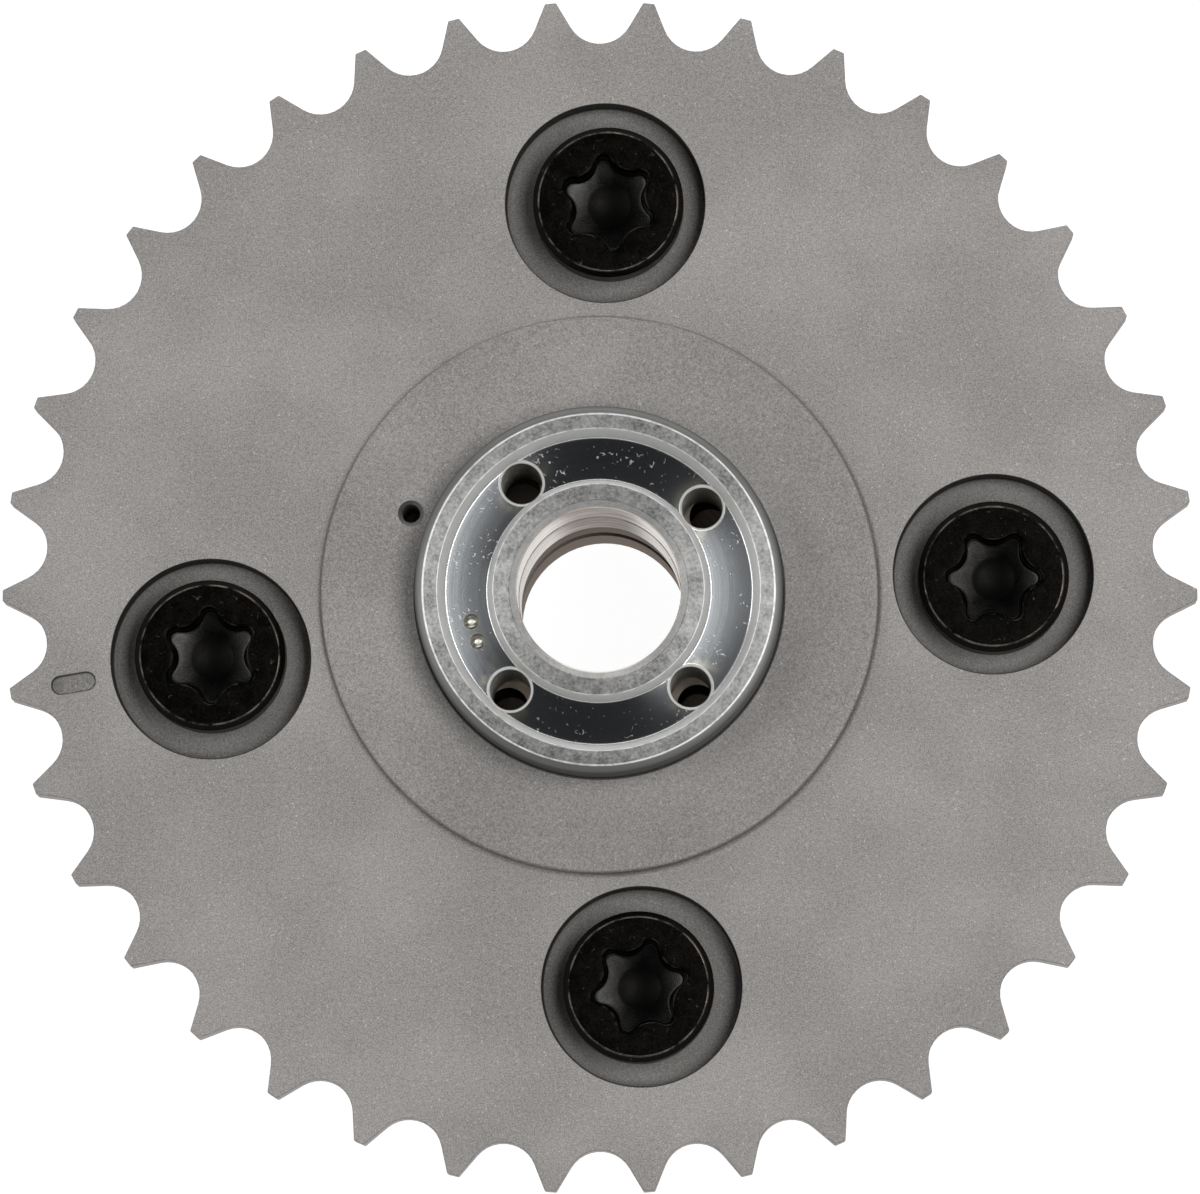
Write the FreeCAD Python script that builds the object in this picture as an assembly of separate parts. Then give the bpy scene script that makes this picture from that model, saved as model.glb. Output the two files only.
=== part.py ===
import FreeCAD, Part
import math
import os

# A vane cam phaser: a chain wheel bolted over a chambered housing, and a four-vane rotor that turns
# inside it. Millimetres and degrees. Z is the camshaft axis. z = 0 is the outer face of the front
# cover, which the phaser rests on, and +Z points at the camshaft. Angles run counter-clockwise from
# +X as seen from the camshaft, and tooth 0 points along +X.

# Chain wheel
TEETH = 38
CHAIN_PITCH = 9.525
ROLLER_D = 6.35
ROOT_ARC_GAP = 0.16         # between a seated roller and the tooth gap's round
FLANK_DEG = 26.3            # between a tooth's flank and its centre line
TIP_RISE = 1.0              # tooth tips above the pitch circle
TOOTH_T = 5.0
PLATE_BACK_T = 4.4          # round back of the wheel, behind the teeth
BOSS_W = 9.4                # raised disc, beyond the hub
BOSS_H = 1.2
BOSS_EDGE_R = 0.3
BOSS_FOOT_R = 0.5
PLATE_BORE_CHAMFER = 0.4
MARK_TOOTH = 20             # tooth that carries the timing mark
MARK_INSET = 2.1            # the mark's middle, inside the root circle
MARK_L = 4.43
MARK_W = 1.9
MARK_DEPTH = 0.5

# Housing and front cover
RIM_W = 4.5                 # from the housing out to the root circle
HOUSING_WALL = 7.0          # outside the chambers
CHAMBER_CORNER_R = 1.5
HOUSING_T = 25.0
LOBE_HALF_DEG = 16.0
LOBE_CHAMFER = 0.9
EDGE_CHAMFER = 0.8
COVER_T = 8.0
COVER_HOLE_GAP = 0.4        # around the rotor's nose
DOWEL_R = 2.0
DOWEL_DEG = 46.0
DOWEL_DEPTH = 3.0           # into the wheel, and as far into the housing
DOWEL_END_GAP = 0.1

# Screws: low heads with six-lobe recesses, sunk in pockets of the chain wheel
SCREW_DEGS = (2.55, 88.75, 188.85, 275.65)
SCREW_TURN_DEGS = (0.0, 37.0, 31.0, 13.0)     # how far each recess is turned
POCKET_LEAD_DEG = 0.45      # the wheel sits this far round on its screws, within their play
SCREW_INSET = 4.3           # screw centres, inside the chamber wall
SCREW_R = 4.0
SCREW_HOLE_GAP = 0.4
SCREW_THREAD_GAP = 0.02
SCREW_END_GAP = 0.8         # shank end inside the cover's outer face
SCREW_END_CHAMFER = 0.8
HEAD_RIM = 3.4              # head beyond the shank
HEAD_PROUD = 1.3            # head above the wheel's face
HEAD_CHAMFER = 0.55
POCKET_GAP = 2.4            # around the head
POCKET_DEPTH = 3.8
RECESS_TIP_R = 4.8          # six-lobe recess, to the lobe tips
RECESS_WAIST_R = 3.55       # and to the waists between them
RECESS_LOBE_R = 0.8
RECESS_DEPTH = 3.1
RECESS_CONE_R = 2.1
RECESS_CONE_DEPTH = 0.7

# Rotor
ROTOR_GAP = 0.05            # axial running clearance at each end
BODY_R = 24.5
TRAVEL_DEG = 25.0
VANE_STOP_GAP_DEG = 1.1     # the three narrow vanes never touch the lobes
WIDE_STOP_GAP_DEG = 0.4
VANE_ROOT_R = 0.5
TIP_GAP = 0.2               # vane tips and lobe tips clear what they face
NOSE_RIM = 2.0              # around the bolt seat
NOSE_END_GAP = 0.4          # nose inside the cover's outer face
SEAT_R = 13.0               # bolt seat turned into the nose
SEAT_DEPTH = 0.5
ROTOR_BORE_R = 8.4
PORT_R = 1.3                # radial oil ports
PORT_WALL = 1.4             # between an axial oil hole's floor and the bore's port below it
PORT_LIFT = 0.4             # radial ports start this far above an axial hole's floor
BORE_GROOVE_DEPTH = 1.5
BORE_GROOVE_W = 4.0
BORE_PORT_Z = 5.0           # above the rotor's front face
BORE_PORT_LEAD_DEG = 2.0    # ports from the bore open just past each vane

# Hub journal, pressed into the rotor, which the camshaft clamps on
HUB_R = 18.0
HUB_RISE = 6.4              # above the raised disc
HUB_SEAT_DEPTH = 3.0        # into the rotor
HUB_SPIGOT_WALL = 2.86
HUB_SPIGOT_L = 3.6
HUB_OUTER_CHAMFER = (0.85, 0.7)         # radial, axial
HUB_OUTER_LAND_W = 1.4
HUB_OUTER_BEVEL_W = 0.69    # radial width of the groove's outer wall
HUB_GROOVE_W = 4.16         # floor
HUB_GROOVE_DEPTH = 2.2
HUB_GROOVE_DISH = 0.2       # the floor is dished
HUB_INNER_BEVEL_W = 0.53    # radial width of the groove's inner wall
HUB_BORE_R = 8.04
HUB_BORE_CHAMFER = 0.76
HUB_STEP_L = 13.3           # from the hub's face to where its bore narrows
HUB_STEP = 0.32
HUB_PORT_DEGS = (38.9, 125.6, 228.1, 313.7)
HUB_PORT_R = 2.0
HUB_PORT_EDGE = 0.2
ROTOR_PORT_SHIFT = 0.8      # the rotor's holes lie further out than the hub's
JOURNAL_GAP = 0.05
PRESS_GAP = 0.01
PUNCH_DEGS = (193.5, 202.6)
PUNCH_SHIFT = -0.15         # from the middle of the groove
PUNCH_R = 0.8
PUNCH_DEPTH = 0.5

# Seal bars and their leaf springs, in the vane tips and the lobe tips
SEAL_W = 2.4
SEAL_H = 3.0
SEAL_GAP = 0.05
SLOT_GAP = 0.04
LEAF_SPACE = 0.8
LEAF_T = 0.2
LEAF_END_GAP = 1.5
LEAF_SIDE_GAP = 0.2
LEAF_TOUCH_GAP = 0.02

# Locking pin, in the wide vane
PIN_DEG = 156.7
PIN_INSET = 10.5            # pin centre, inside the chamber wall
PIN_R = 5.0
PIN_GAP = 0.03
PIN_TRAVEL = 3.2
PIN_STOP_GAP = 0.1
PIN_NOSE_R = 3.9
PIN_NOSE_L = 4.4
PIN_NOSE_TAPER = 0.3
PIN_LIFT = 0.25             # nose above the cover while the pin is held back
PIN_POCKET_R = 3.3
PIN_POCKET_FLOOR = 5.4
PIN_EDGE = 0.3
BUSH_WALL = 2.0
BUSH_L = 4.6
BUSH_PIN_GAP = 0.06
SPRING_SEAT_T = 2.0
SPRING_SEAT_SINK = 0.3
SPRING_R = 2.6              # mean radius of the coil
SPRING_WIRE_R = 0.4
SPRING_TURNS = 8
SPRING_END_GAP = 0.02
VENT_R = 0.9
VENT_CHAMFER = 0.37
VENT_OFFSET = 2.15          # vent centre, outside the hub
VENT_GROOVE_W = 1.6
VENT_GROOVE_DEPTH = 0.8
VENT_GROOVE_END_DEG = 4.0   # past the vent at full travel
FEED_GROOVE_END_DEG = 1.0   # past the wide vane's side

# Levels
HOUSING_Z = COVER_T
PLATE_Z = HOUSING_Z + HOUSING_T
TOOTH_Z = PLATE_Z + PLATE_BACK_T
FACE_Z = TOOTH_Z + TOOTH_T
BOSS_Z = FACE_Z + BOSS_H
HUB_Z = BOSS_Z + HUB_RISE
ROTOR_Z = HOUSING_Z + ROTOR_GAP
ROTOR_TOP_Z = PLATE_Z - ROTOR_GAP
HUB_SEAT_Z = ROTOR_TOP_Z - HUB_SEAT_DEPTH
SPIGOT_Z = HUB_SEAT_Z - HUB_SPIGOT_L
POCKET_Z = FACE_Z - POCKET_DEPTH
BORE_PORT_LEVEL = ROTOR_Z + BORE_PORT_Z
AXIAL_HOLE_Z = BORE_PORT_LEVEL + PORT_R + PORT_WALL
PIN_Z = COVER_T + PIN_LIFT
SPRING_SEAT_Z = ROTOR_TOP_Z - SPRING_SEAT_SINK - SPRING_SEAT_T
BUSH_Z = COVER_T - BUSH_L

# Radii that follow from those above
PITCH_R = CHAIN_PITCH / (2 * math.sin(math.pi / TEETH))
ROOT_R = PITCH_R - ROLLER_D / 2
MARK_R = ROOT_R - MARK_INSET
HOUSING_R = ROOT_R - RIM_W
CHAMBER_R = HOUSING_R - HOUSING_WALL
DOWEL_PCR = CHAMBER_R + HOUSING_WALL / 2
SCREW_PCR = CHAMBER_R - SCREW_INSET
PIN_PCR = CHAMBER_R - PIN_INSET
HEAD_R = SCREW_R + HEAD_RIM
POCKET_R = HEAD_R + POCKET_GAP
NOSE_R = SEAT_R + NOSE_RIM
BORE_GROOVE_R = ROTOR_BORE_R + BORE_GROOVE_DEPTH
BOSS_R = HUB_R + BOSS_W
VENT_PCR = HUB_R + VENT_OFFSET
HUB_LAND_R = HUB_R - HUB_OUTER_CHAMFER[0] - HUB_OUTER_LAND_W
HUB_GROOVE_OUTER_R = HUB_LAND_R - HUB_OUTER_BEVEL_W
HUB_GROOVE_INNER_R = HUB_GROOVE_OUTER_R - HUB_GROOVE_W
HUB_INNER_LAND_R = HUB_GROOVE_INNER_R - HUB_INNER_BEVEL_W
HUB_SPIGOT_R = HUB_BORE_R + HUB_SPIGOT_WALL
HUB_PORT_PCR = HUB_GROOVE_INNER_R + HUB_GROOVE_W / 2
PUNCH_PCR = HUB_PORT_PCR + PUNCH_SHIFT
TIP_R = PITCH_R + TIP_RISE
LOBE_TIP_R = BODY_R + TIP_GAP
VANE_TIP_R = CHAMBER_R - TIP_GAP
ROOT_ARC_R = ROLLER_D / 2 + ROOT_ARC_GAP
PIN_BORE_R = PIN_R + PIN_GAP
BUSH_R = PIN_NOSE_R + BUSH_PIN_GAP + BUSH_WALL

OVERCUT = 1.0               # how far a cutter runs past what it cuts
UP = FreeCAD.Vector(0, 0, 1)
AXIS = FreeCAD.Vector(0, 0, 0)


def at(radius, degrees, z=0.0):
    """The point at that radius and angle."""
    angle = math.radians(degrees)
    return FreeCAD.Vector(radius * math.cos(angle), radius * math.sin(angle), z)


def disc(radius, low, high, centre=AXIS):
    """A cylinder from one level to another."""
    base = FreeCAD.Vector(centre.x, centre.y, low)
    return Part.makeCylinder(radius, high - low, base)


def ring(inner, outer, low, high):
    """A round tube from one level to another."""
    return disc(outer, low, high).cut(disc(inner, low - OVERCUT, high + OVERCUT))


def turned(points, centre=AXIS):
    """The solid that an (r, z) outline sweeps about the vertical line through centre."""
    corners = [FreeCAD.Vector(radius, 0, z) for radius, z in points]
    face = Part.Face(Part.makePolygon(corners + corners[:1]))
    solid = face.revolve(AXIS, UP, 360)
    solid.translate(FreeCAD.Vector(centre.x, centre.y, 0))
    return solid


def spun(shape, degrees):
    """A copy turned about the camshaft axis."""
    copy = shape.copy()
    copy.rotate(AXIS, UP, degrees)
    return copy


def sector(inner, outer, start, end, low, high):
    """An annular sector between two angles."""
    middle = (start + end) / 2
    edges = [
        Part.LineSegment(at(inner, start, low), at(outer, start, low)),
        Part.Arc(at(outer, start, low), at(outer, middle, low), at(outer, end, low)),
        Part.LineSegment(at(outer, end, low), at(inner, end, low)),
        Part.Arc(at(inner, end, low), at(inner, middle, low), at(inner, start, low)),
    ]
    wire = Part.Wire([edge.toShape() for edge in edges])
    return Part.Face(wire).extrude(FreeCAD.Vector(0, 0, high - low))


def bar(inner, outer, width, degrees, low, high):
    """A radial block of that width across, between two radii and two levels."""
    block = Part.makeBox(outer - inner, width, high - low, FreeCAD.Vector(inner, -width / 2, low))
    return spun(block, degrees)


def drilling(radius, inner, outer, degrees, z):
    """A radial round hole."""
    start = at(inner, degrees, z)
    return Part.makeCylinder(radius, outer - inner, start, at(1, degrees))


def upright_edges(shape, radius):
    """The straight vertical edges of a shape at that distance from the axis."""
    found = []
    for edge in shape.Edges:
        if not isinstance(edge.Curve, Part.Line):
            continue
        first, last = (vertex.Point for vertex in (edge.Vertexes[0], edge.Vertexes[-1]))
        level = math.hypot(first.x - last.x, first.y - last.y) < 1e-6
        if level and abs(math.hypot(first.x, first.y) - radius) < 1e-3:
            found.append(edge)
    return found


def rounded_edges(shape, radius, z):
    """The circular edges of a shape with that radius and level."""
    return [
        edge for edge in shape.Edges
        if isinstance(edge.Curve, Part.Circle) and abs(edge.Curve.Radius - radius) < 1e-3
        and abs(edge.Curve.Center.z - z) < 1e-3
    ]


def export(shape, node):
    """Writes one node's STEP file, and says what was written."""
    shape = shape.removeSplitter()
    assert shape.isValid() and shape.Solids, node
    shape.exportStep(os.path.join("parts", node + ".step"))
    print(f"{node}: {len(shape.Solids)} solid, {shape.Volume:.2f} mm3")


# Angles of the vanes: each one rests just short of the lobe that follows it

def following(degrees_list, index):
    """The next angle round, counter-clockwise."""
    if index + 1 < len(degrees_list):
        return degrees_list[index + 1]
    return degrees_list[0] + 360


def lobe_gaps():
    """(this lobe's angle, the next one's) for each chamber."""
    return [(start, following(SCREW_DEGS, index)) for index, start in enumerate(SCREW_DEGS)]


def widest_chamber():
    """The number of the chamber that the wide vane turns in."""
    return max(range(len(SCREW_DEGS)), key=lambda i: lobe_gaps()[i][1] - lobe_gaps()[i][0])


def vane_spans():
    """(clockwise side, counter-clockwise side) of each vane at rest."""
    rooms = [next_lobe - lobe - 2 * LOBE_HALF_DEG for lobe, next_lobe in lobe_gaps()]
    spans = []
    for index, (_, next_lobe) in enumerate(lobe_gaps()):
        wide = index == widest_chamber()
        stop_gap = WIDE_STOP_GAP_DEG if wide else VANE_STOP_GAP_DEG
        room = max(rooms) if wide else min(rooms)
        side = next_lobe - LOBE_HALF_DEG - stop_gap
        spans.append((side - (room - TRAVEL_DEG - 2 * stop_gap), side))
    return spans


# Chain wheel

def tooth_corner():
    """(flank foot, tip corner) of a tooth on +X, on its counter-clockwise side."""
    half_pitch = 180 / TEETH
    flank = math.radians(FLANK_DEG)
    foot = at(ROOT_R + ROOT_ARC_R, half_pitch)
    foot = foot - FreeCAD.Vector(math.sin(flank), math.cos(flank), 0) * ROOT_ARC_R
    along = FreeCAD.Vector(math.cos(flank), -math.sin(flank), 0)
    lean = foot.dot(along)
    reach = -lean + math.sqrt(lean * lean + TIP_R * TIP_R - foot.dot(foot))
    return foot, foot + along * reach


def tooth_outline():
    """The closed outline of all the teeth, as arcs and lines."""
    foot, corner = tooth_corner()
    foot_r, corner_r = foot.Length, corner.Length
    foot_deg = math.degrees(math.atan2(foot.y, foot.x))
    corner_deg = math.degrees(math.atan2(corner.y, corner.x))
    edges = []
    for tooth in range(TEETH):
        here = tooth * 360 / TEETH
        gullet = here + 180 / TEETH
        after = here + 360 / TEETH
        left, right = at(corner_r, here - corner_deg), at(corner_r, here + corner_deg)
        down, up = at(foot_r, here + foot_deg), at(foot_r, after - foot_deg)
        edges += [
            Part.Arc(left, at(TIP_R, here), right),
            Part.LineSegment(right, down),
            Part.Arc(down, at(ROOT_R, gullet), up),
            Part.LineSegment(up, at(corner_r, after - corner_deg)),
        ]
    return Part.Wire([edge.toShape() for edge in edges])


def timing_mark():
    """A round-ended slot on a tooth's centre line."""
    low, high = FACE_Z - MARK_DEPTH, FACE_Z + OVERCUT
    half = (MARK_L - MARK_W) / 2
    slot = bar(MARK_R - half, MARK_R + half, MARK_W, 0, low, high)
    for end in (MARK_R - half, MARK_R + half):
        slot = slot.fuse(disc(MARK_W / 2, low, high, at(end, 0)))
    return spun(slot, MARK_TOOTH * 360 / TEETH)


def sprocket_plate():
    """The chain wheel: toothed rim, round back, raised disc, screw pockets, vent and mark."""
    teeth = Part.Face(tooth_outline()).extrude(FreeCAD.Vector(0, 0, TOOTH_T))
    teeth.translate(FreeCAD.Vector(0, 0, TOOTH_Z))
    boss = turned([
        (0, FACE_Z - OVERCUT), (BOSS_R + BOSS_FOOT_R, FACE_Z - OVERCUT),
        (BOSS_R + BOSS_FOOT_R, FACE_Z), (BOSS_R, FACE_Z + BOSS_H / 2), (BOSS_R, BOSS_Z), (0, BOSS_Z),
    ])
    boss = boss.makeFillet(BOSS_EDGE_R, rounded_edges(boss, BOSS_R, BOSS_Z))
    plate = teeth.fuse([disc(HOUSING_R, PLATE_Z, TOOTH_Z + OVERCUT), boss])
    bore = HUB_R + JOURNAL_GAP
    cutters = [
        disc(bore, PLATE_Z - OVERCUT, BOSS_Z + OVERCUT),
        Part.makeCone(bore, bore + PLATE_BORE_CHAMFER, PLATE_BORE_CHAMFER,
                      FreeCAD.Vector(0, 0, BOSS_Z - PLATE_BORE_CHAMFER)),
        timing_mark(),
        disc(DOWEL_R + PRESS_GAP, PLATE_Z - OVERCUT, PLATE_Z + DOWEL_DEPTH + DOWEL_END_GAP,
             at(DOWEL_PCR, DOWEL_DEG)),
    ]
    for degrees in SCREW_DEGS:
        centre = at(SCREW_PCR, degrees + POCKET_LEAD_DEG)
        cutters.append(disc(POCKET_R, POCKET_Z, BOSS_Z + OVERCUT, centre))
        cutters.append(disc(SCREW_R + SCREW_HOLE_GAP, PLATE_Z - OVERCUT, BOSS_Z, centre))
    vent = at(VENT_PCR, PIN_DEG)
    cutters.append(disc(VENT_R, PLATE_Z - OVERCUT, BOSS_Z + OVERCUT, vent))
    cutters.append(Part.makeCone(VENT_R, VENT_R + VENT_CHAMFER, VENT_CHAMFER,
                                 FreeCAD.Vector(vent.x, vent.y, BOSS_Z - VENT_CHAMFER)))
    return plate.cut(cutters)


# Housing and front cover

def housing():
    """The ring with four lobes that part the oil chambers."""
    body = disc(HOUSING_R, HOUSING_Z, PLATE_Z)
    low, high = HOUSING_Z - OVERCUT, PLATE_Z + OVERCUT
    room = disc(LOBE_TIP_R, low, high)
    for lobe, next_lobe in lobe_gaps():
        start, end = lobe + LOBE_HALF_DEG, next_lobe - LOBE_HALF_DEG
        room = room.fuse(sector(LOBE_TIP_R - OVERCUT, CHAMBER_R, start, end, low, high))
    body = body.cut(room.removeSplitter())
    body = body.makeFillet(CHAMBER_CORNER_R, upright_edges(body, CHAMBER_R))
    body = body.makeChamfer(LOBE_CHAMFER, upright_edges(body, LOBE_TIP_R))
    outer = SEAL_GAP + SEAL_H + LEAF_SPACE + BODY_R
    cutters = [
        disc(DOWEL_R + PRESS_GAP, PLATE_Z - DOWEL_DEPTH - DOWEL_END_GAP, high,
             at(DOWEL_PCR, DOWEL_DEG)),
    ]
    for degrees in SCREW_DEGS:
        cutters.append(disc(SCREW_R + SCREW_HOLE_GAP, low, high, at(SCREW_PCR, degrees)))
        cutters.append(bar(BODY_R, outer, SEAL_W + 2 * SLOT_GAP, degrees, low, high))
    return body.cut(cutters)


def feed_groove():
    """The groove that takes oil from beside the wide vane to the pin's nose."""
    half = VENT_GROOVE_W / 2
    end = vane_spans()[widest_chamber()][1] + FEED_GROOVE_END_DEG
    return sector(PIN_PCR - half, PIN_PCR + half, PIN_DEG, end,
                  COVER_T - VENT_GROOVE_DEPTH, COVER_T + OVERCUT)


def front_cover():
    """The plate that closes the chambers and takes the screws' threads and the lock bush."""
    hole = NOSE_R + COVER_HOLE_GAP
    cover = ring(hole, HOUSING_R, 0, COVER_T)
    cover = cover.makeChamfer(EDGE_CHAMFER, rounded_edges(cover, HOUSING_R, 0)
                              + rounded_edges(cover, hole, 0))
    pin = at(PIN_PCR, PIN_DEG)
    cutters = [
        disc(BUSH_R + PRESS_GAP, BUSH_Z, COVER_T + OVERCUT, pin),
        disc(VENT_R, -OVERCUT, COVER_T, pin),
        feed_groove(),
    ]
    for degrees in SCREW_DEGS:
        centre = at(SCREW_PCR, degrees)
        mouth = SCREW_R + SCREW_THREAD_GAP
        cutters.append(disc(mouth, -OVERCUT, COVER_T + OVERCUT, centre))
        cutters.append(Part.makeCone(mouth + EDGE_CHAMFER, mouth, EDGE_CHAMFER, centre))
    return cover.cut(cutters)


def locating_dowel():
    """Lines the chain wheel up with the housing."""
    dowel = disc(DOWEL_R, PLATE_Z - DOWEL_DEPTH, PLATE_Z + DOWEL_DEPTH, at(DOWEL_PCR, DOWEL_DEG))
    ends = [edge for edge in dowel.Edges if isinstance(edge.Curve, Part.Circle)]
    return dowel.makeChamfer(PIN_EDGE, ends)


# Screws

def recess(centre_z):
    """The six-lobe driver recess: round lobes and waists in turn, with a shallow cone below."""
    lobe_centre = RECESS_TIP_R - RECESS_LOBE_R
    near = math.cos(math.pi / 6) * lobe_centre
    waist_centre = (lobe_centre ** 2 - (RECESS_WAIST_R - RECESS_LOBE_R) ** 2) / (
        2 * (near - (RECESS_WAIST_R - RECESS_LOBE_R)))
    waist_r = waist_centre - RECESS_WAIST_R
    low = centre_z - RECESS_DEPTH
    edges = []
    for lobe in range(6):
        here = lobe * 60
        middle, before, after = (at(lobe_centre, here), at(waist_centre, here - 30),
                                 at(waist_centre, here + 30))
        share = RECESS_LOBE_R / (RECESS_LOBE_R + waist_r)
        start, end = middle + (before - middle) * share, middle + (after - middle) * share
        next_start = spun(Part.Vertex(start), 60).Point
        edges.append(Part.Arc(start, at(RECESS_TIP_R, here), end))
        edges.append(Part.Arc(end, at(RECESS_WAIST_R, here + 30), next_start))
    wire = Part.Wire([edge.toShape() for edge in edges])
    well = Part.Face(wire).extrude(FreeCAD.Vector(0, 0, RECESS_DEPTH + OVERCUT))
    well.translate(FreeCAD.Vector(0, 0, low))
    cone = Part.makeCone(0, RECESS_CONE_R, RECESS_CONE_DEPTH,
                         FreeCAD.Vector(0, 0, low - RECESS_CONE_DEPTH))
    return well.fuse(cone)


def cover_screw(degrees, turn):
    """One low-head screw, from its pocket in the wheel to the front cover."""
    top, end = FACE_Z + HEAD_PROUD, SCREW_END_GAP
    screw = turned([
        (0, end), (SCREW_R - SCREW_END_CHAMFER, end), (SCREW_R, end + SCREW_END_CHAMFER),
        (SCREW_R, POCKET_Z), (HEAD_R, POCKET_Z), (HEAD_R, top - HEAD_CHAMFER),
        (HEAD_R - HEAD_CHAMFER, top), (0, top),
    ])
    screw = spun(screw.cut(recess(top)), turn)
    screw.translate(at(SCREW_PCR, degrees))
    return screw


# Rotor and hub journal

def vane(start, end):
    """One vane, with the slot for its seal bar."""
    body = sector(BODY_R - OVERCUT, VANE_TIP_R, start, end, ROTOR_Z, ROTOR_TOP_Z)
    body = body.makeFillet(CHAMBER_CORNER_R, upright_edges(body, VANE_TIP_R))
    bottom = CHAMBER_R - SEAL_GAP - SEAL_H - LEAF_SPACE
    slot = bar(bottom, CHAMBER_R, SEAL_W + 2 * SLOT_GAP, (start + end) / 2,
               ROTOR_Z - OVERCUT, ROTOR_TOP_Z + OVERCUT)
    return body.cut(slot)


def vent_grooves():
    """Grooves in the rotor's back face that join the lock pin's spring space to the vent."""
    low, high = ROTOR_TOP_Z - VENT_GROOVE_DEPTH, ROTOR_TOP_Z + OVERCUT
    half = VENT_GROOVE_W / 2
    end = PIN_DEG + TRAVEL_DEG + VENT_GROOVE_END_DEG
    arc = sector(VENT_PCR - half, VENT_PCR + half, PIN_DEG - VENT_GROOVE_END_DEG, end, low, high)
    return [arc, bar(VENT_PCR, PIN_PCR, VENT_GROOVE_W, PIN_DEG, low, high)]


def rotor():
    """The four-vane rotor, with its bolt seat, bores and oil ports."""
    body = disc(BODY_R, ROTOR_Z, ROTOR_TOP_Z)
    body = body.fuse([vane(start, end) for start, end in vane_spans()]).removeSplitter()
    body = body.makeFillet(VANE_ROOT_R, upright_edges(body, BODY_R))
    body = body.fuse(disc(NOSE_R, NOSE_END_GAP, ROTOR_Z))
    low, high = NOSE_END_GAP - OVERCUT, ROTOR_TOP_Z + OVERCUT
    level = BORE_PORT_LEVEL
    half = BORE_GROOVE_W / 2
    cutters = [
        disc(ROTOR_BORE_R, low, high),
        disc(HUB_SPIGOT_R + PRESS_GAP, SPIGOT_Z, high),
        disc(HUB_R + PRESS_GAP, HUB_SEAT_Z, high),
        disc(SEAT_R, low, NOSE_END_GAP + SEAT_DEPTH),
        disc(BORE_GROOVE_R, level - half, level + half),
        disc(PIN_BORE_R, low, high, at(PIN_PCR, PIN_DEG)),
    ] + vent_grooves()
    hole_pcr = HUB_PORT_PCR + ROTOR_PORT_SHIFT
    for degrees in HUB_PORT_DEGS:
        cutters.append(disc(HUB_PORT_R, AXIAL_HOLE_Z, high, at(hole_pcr, degrees)))
        port_z = AXIAL_HOLE_Z + PORT_LIFT + PORT_R
        cutters.append(drilling(PORT_R, hole_pcr, BODY_R + PORT_R, degrees, port_z))
    for _, side in vane_spans():
        cutters.append(drilling(PORT_R, 0, BODY_R + PORT_R, side + BORE_PORT_LEAD_DEG, level))
    return body.cut(cutters)


def hub_outline():
    """The hub's (r, z) section: journal, lands, oil groove, bore and spigot."""
    radial, axial = HUB_OUTER_CHAMFER
    step_z = HUB_Z - HUB_STEP_L
    narrow = HUB_BORE_R - HUB_STEP
    return [
        (narrow, SPIGOT_Z), (HUB_SPIGOT_R, SPIGOT_Z), (HUB_SPIGOT_R, HUB_SEAT_Z),
        (HUB_R, HUB_SEAT_Z), (HUB_R, HUB_Z - axial), (HUB_R - radial, HUB_Z),
        (HUB_LAND_R, HUB_Z), (HUB_GROOVE_OUTER_R, HUB_Z - HUB_GROOVE_DEPTH),
        (HUB_GROOVE_INNER_R, HUB_Z - HUB_GROOVE_DEPTH), (HUB_INNER_LAND_R, HUB_Z),
        (HUB_BORE_R + HUB_BORE_CHAMFER, HUB_Z), (HUB_BORE_R, HUB_Z - HUB_BORE_CHAMFER),
        (HUB_BORE_R, step_z), (narrow, step_z - HUB_STEP),
    ]


def groove_dish():
    """The ring that dishes the oil groove's floor: a round section sunk below flat."""
    half = (HUB_GROOVE_OUTER_R - HUB_GROOVE_INNER_R) / 2
    middle = HUB_GROOVE_INNER_R + half
    level = HUB_Z - HUB_GROOVE_DEPTH
    start, end = FreeCAD.Vector(middle - half, 0, level), FreeCAD.Vector(middle + half, 0, level)
    low = FreeCAD.Vector(middle, 0, level - HUB_GROOVE_DISH)
    wire = Part.Wire([Part.Arc(start, low, end).toShape(), Part.LineSegment(end, start).toShape()])
    return Part.Face(wire).revolve(AXIS, UP, 360)


def hub_journal():
    """The turned hub: it runs in the chain wheel's bore and feeds oil to the rotor."""
    hub = turned(hub_outline()).cut(groove_dish())
    floor = HUB_Z - HUB_GROOVE_DEPTH - HUB_GROOVE_DISH
    low, high = HUB_SEAT_Z - OVERCUT, HUB_Z + OVERCUT
    rim_r, rim_z = HUB_PORT_R + HUB_PORT_EDGE, floor - HUB_PORT_EDGE
    port = [(0, low), (HUB_PORT_R, low), (HUB_PORT_R, rim_z - HUB_PORT_EDGE),
            (rim_r, rim_z), (rim_r, high), (0, high)]
    cutters = [turned(port, at(HUB_PORT_PCR, degrees)) for degrees in HUB_PORT_DEGS]
    ball_r = (PUNCH_R ** 2 + PUNCH_DEPTH ** 2) / (2 * PUNCH_DEPTH)
    for degrees in PUNCH_DEGS:
        cutters.append(Part.makeSphere(ball_r, at(PUNCH_PCR, degrees, floor - PUNCH_DEPTH + ball_r)))
    return hub.cut(cutters)


# Seals and their springs

def vane_seal(degrees):
    """The seal bar in a vane's tip, rounded to the chamber wall."""
    tip = CHAMBER_R - SEAL_GAP
    block = bar(tip - SEAL_H, CHAMBER_R, SEAL_W, degrees, ROTOR_Z, ROTOR_TOP_Z)
    return block.common(disc(tip, ROTOR_Z, ROTOR_TOP_Z))


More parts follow.
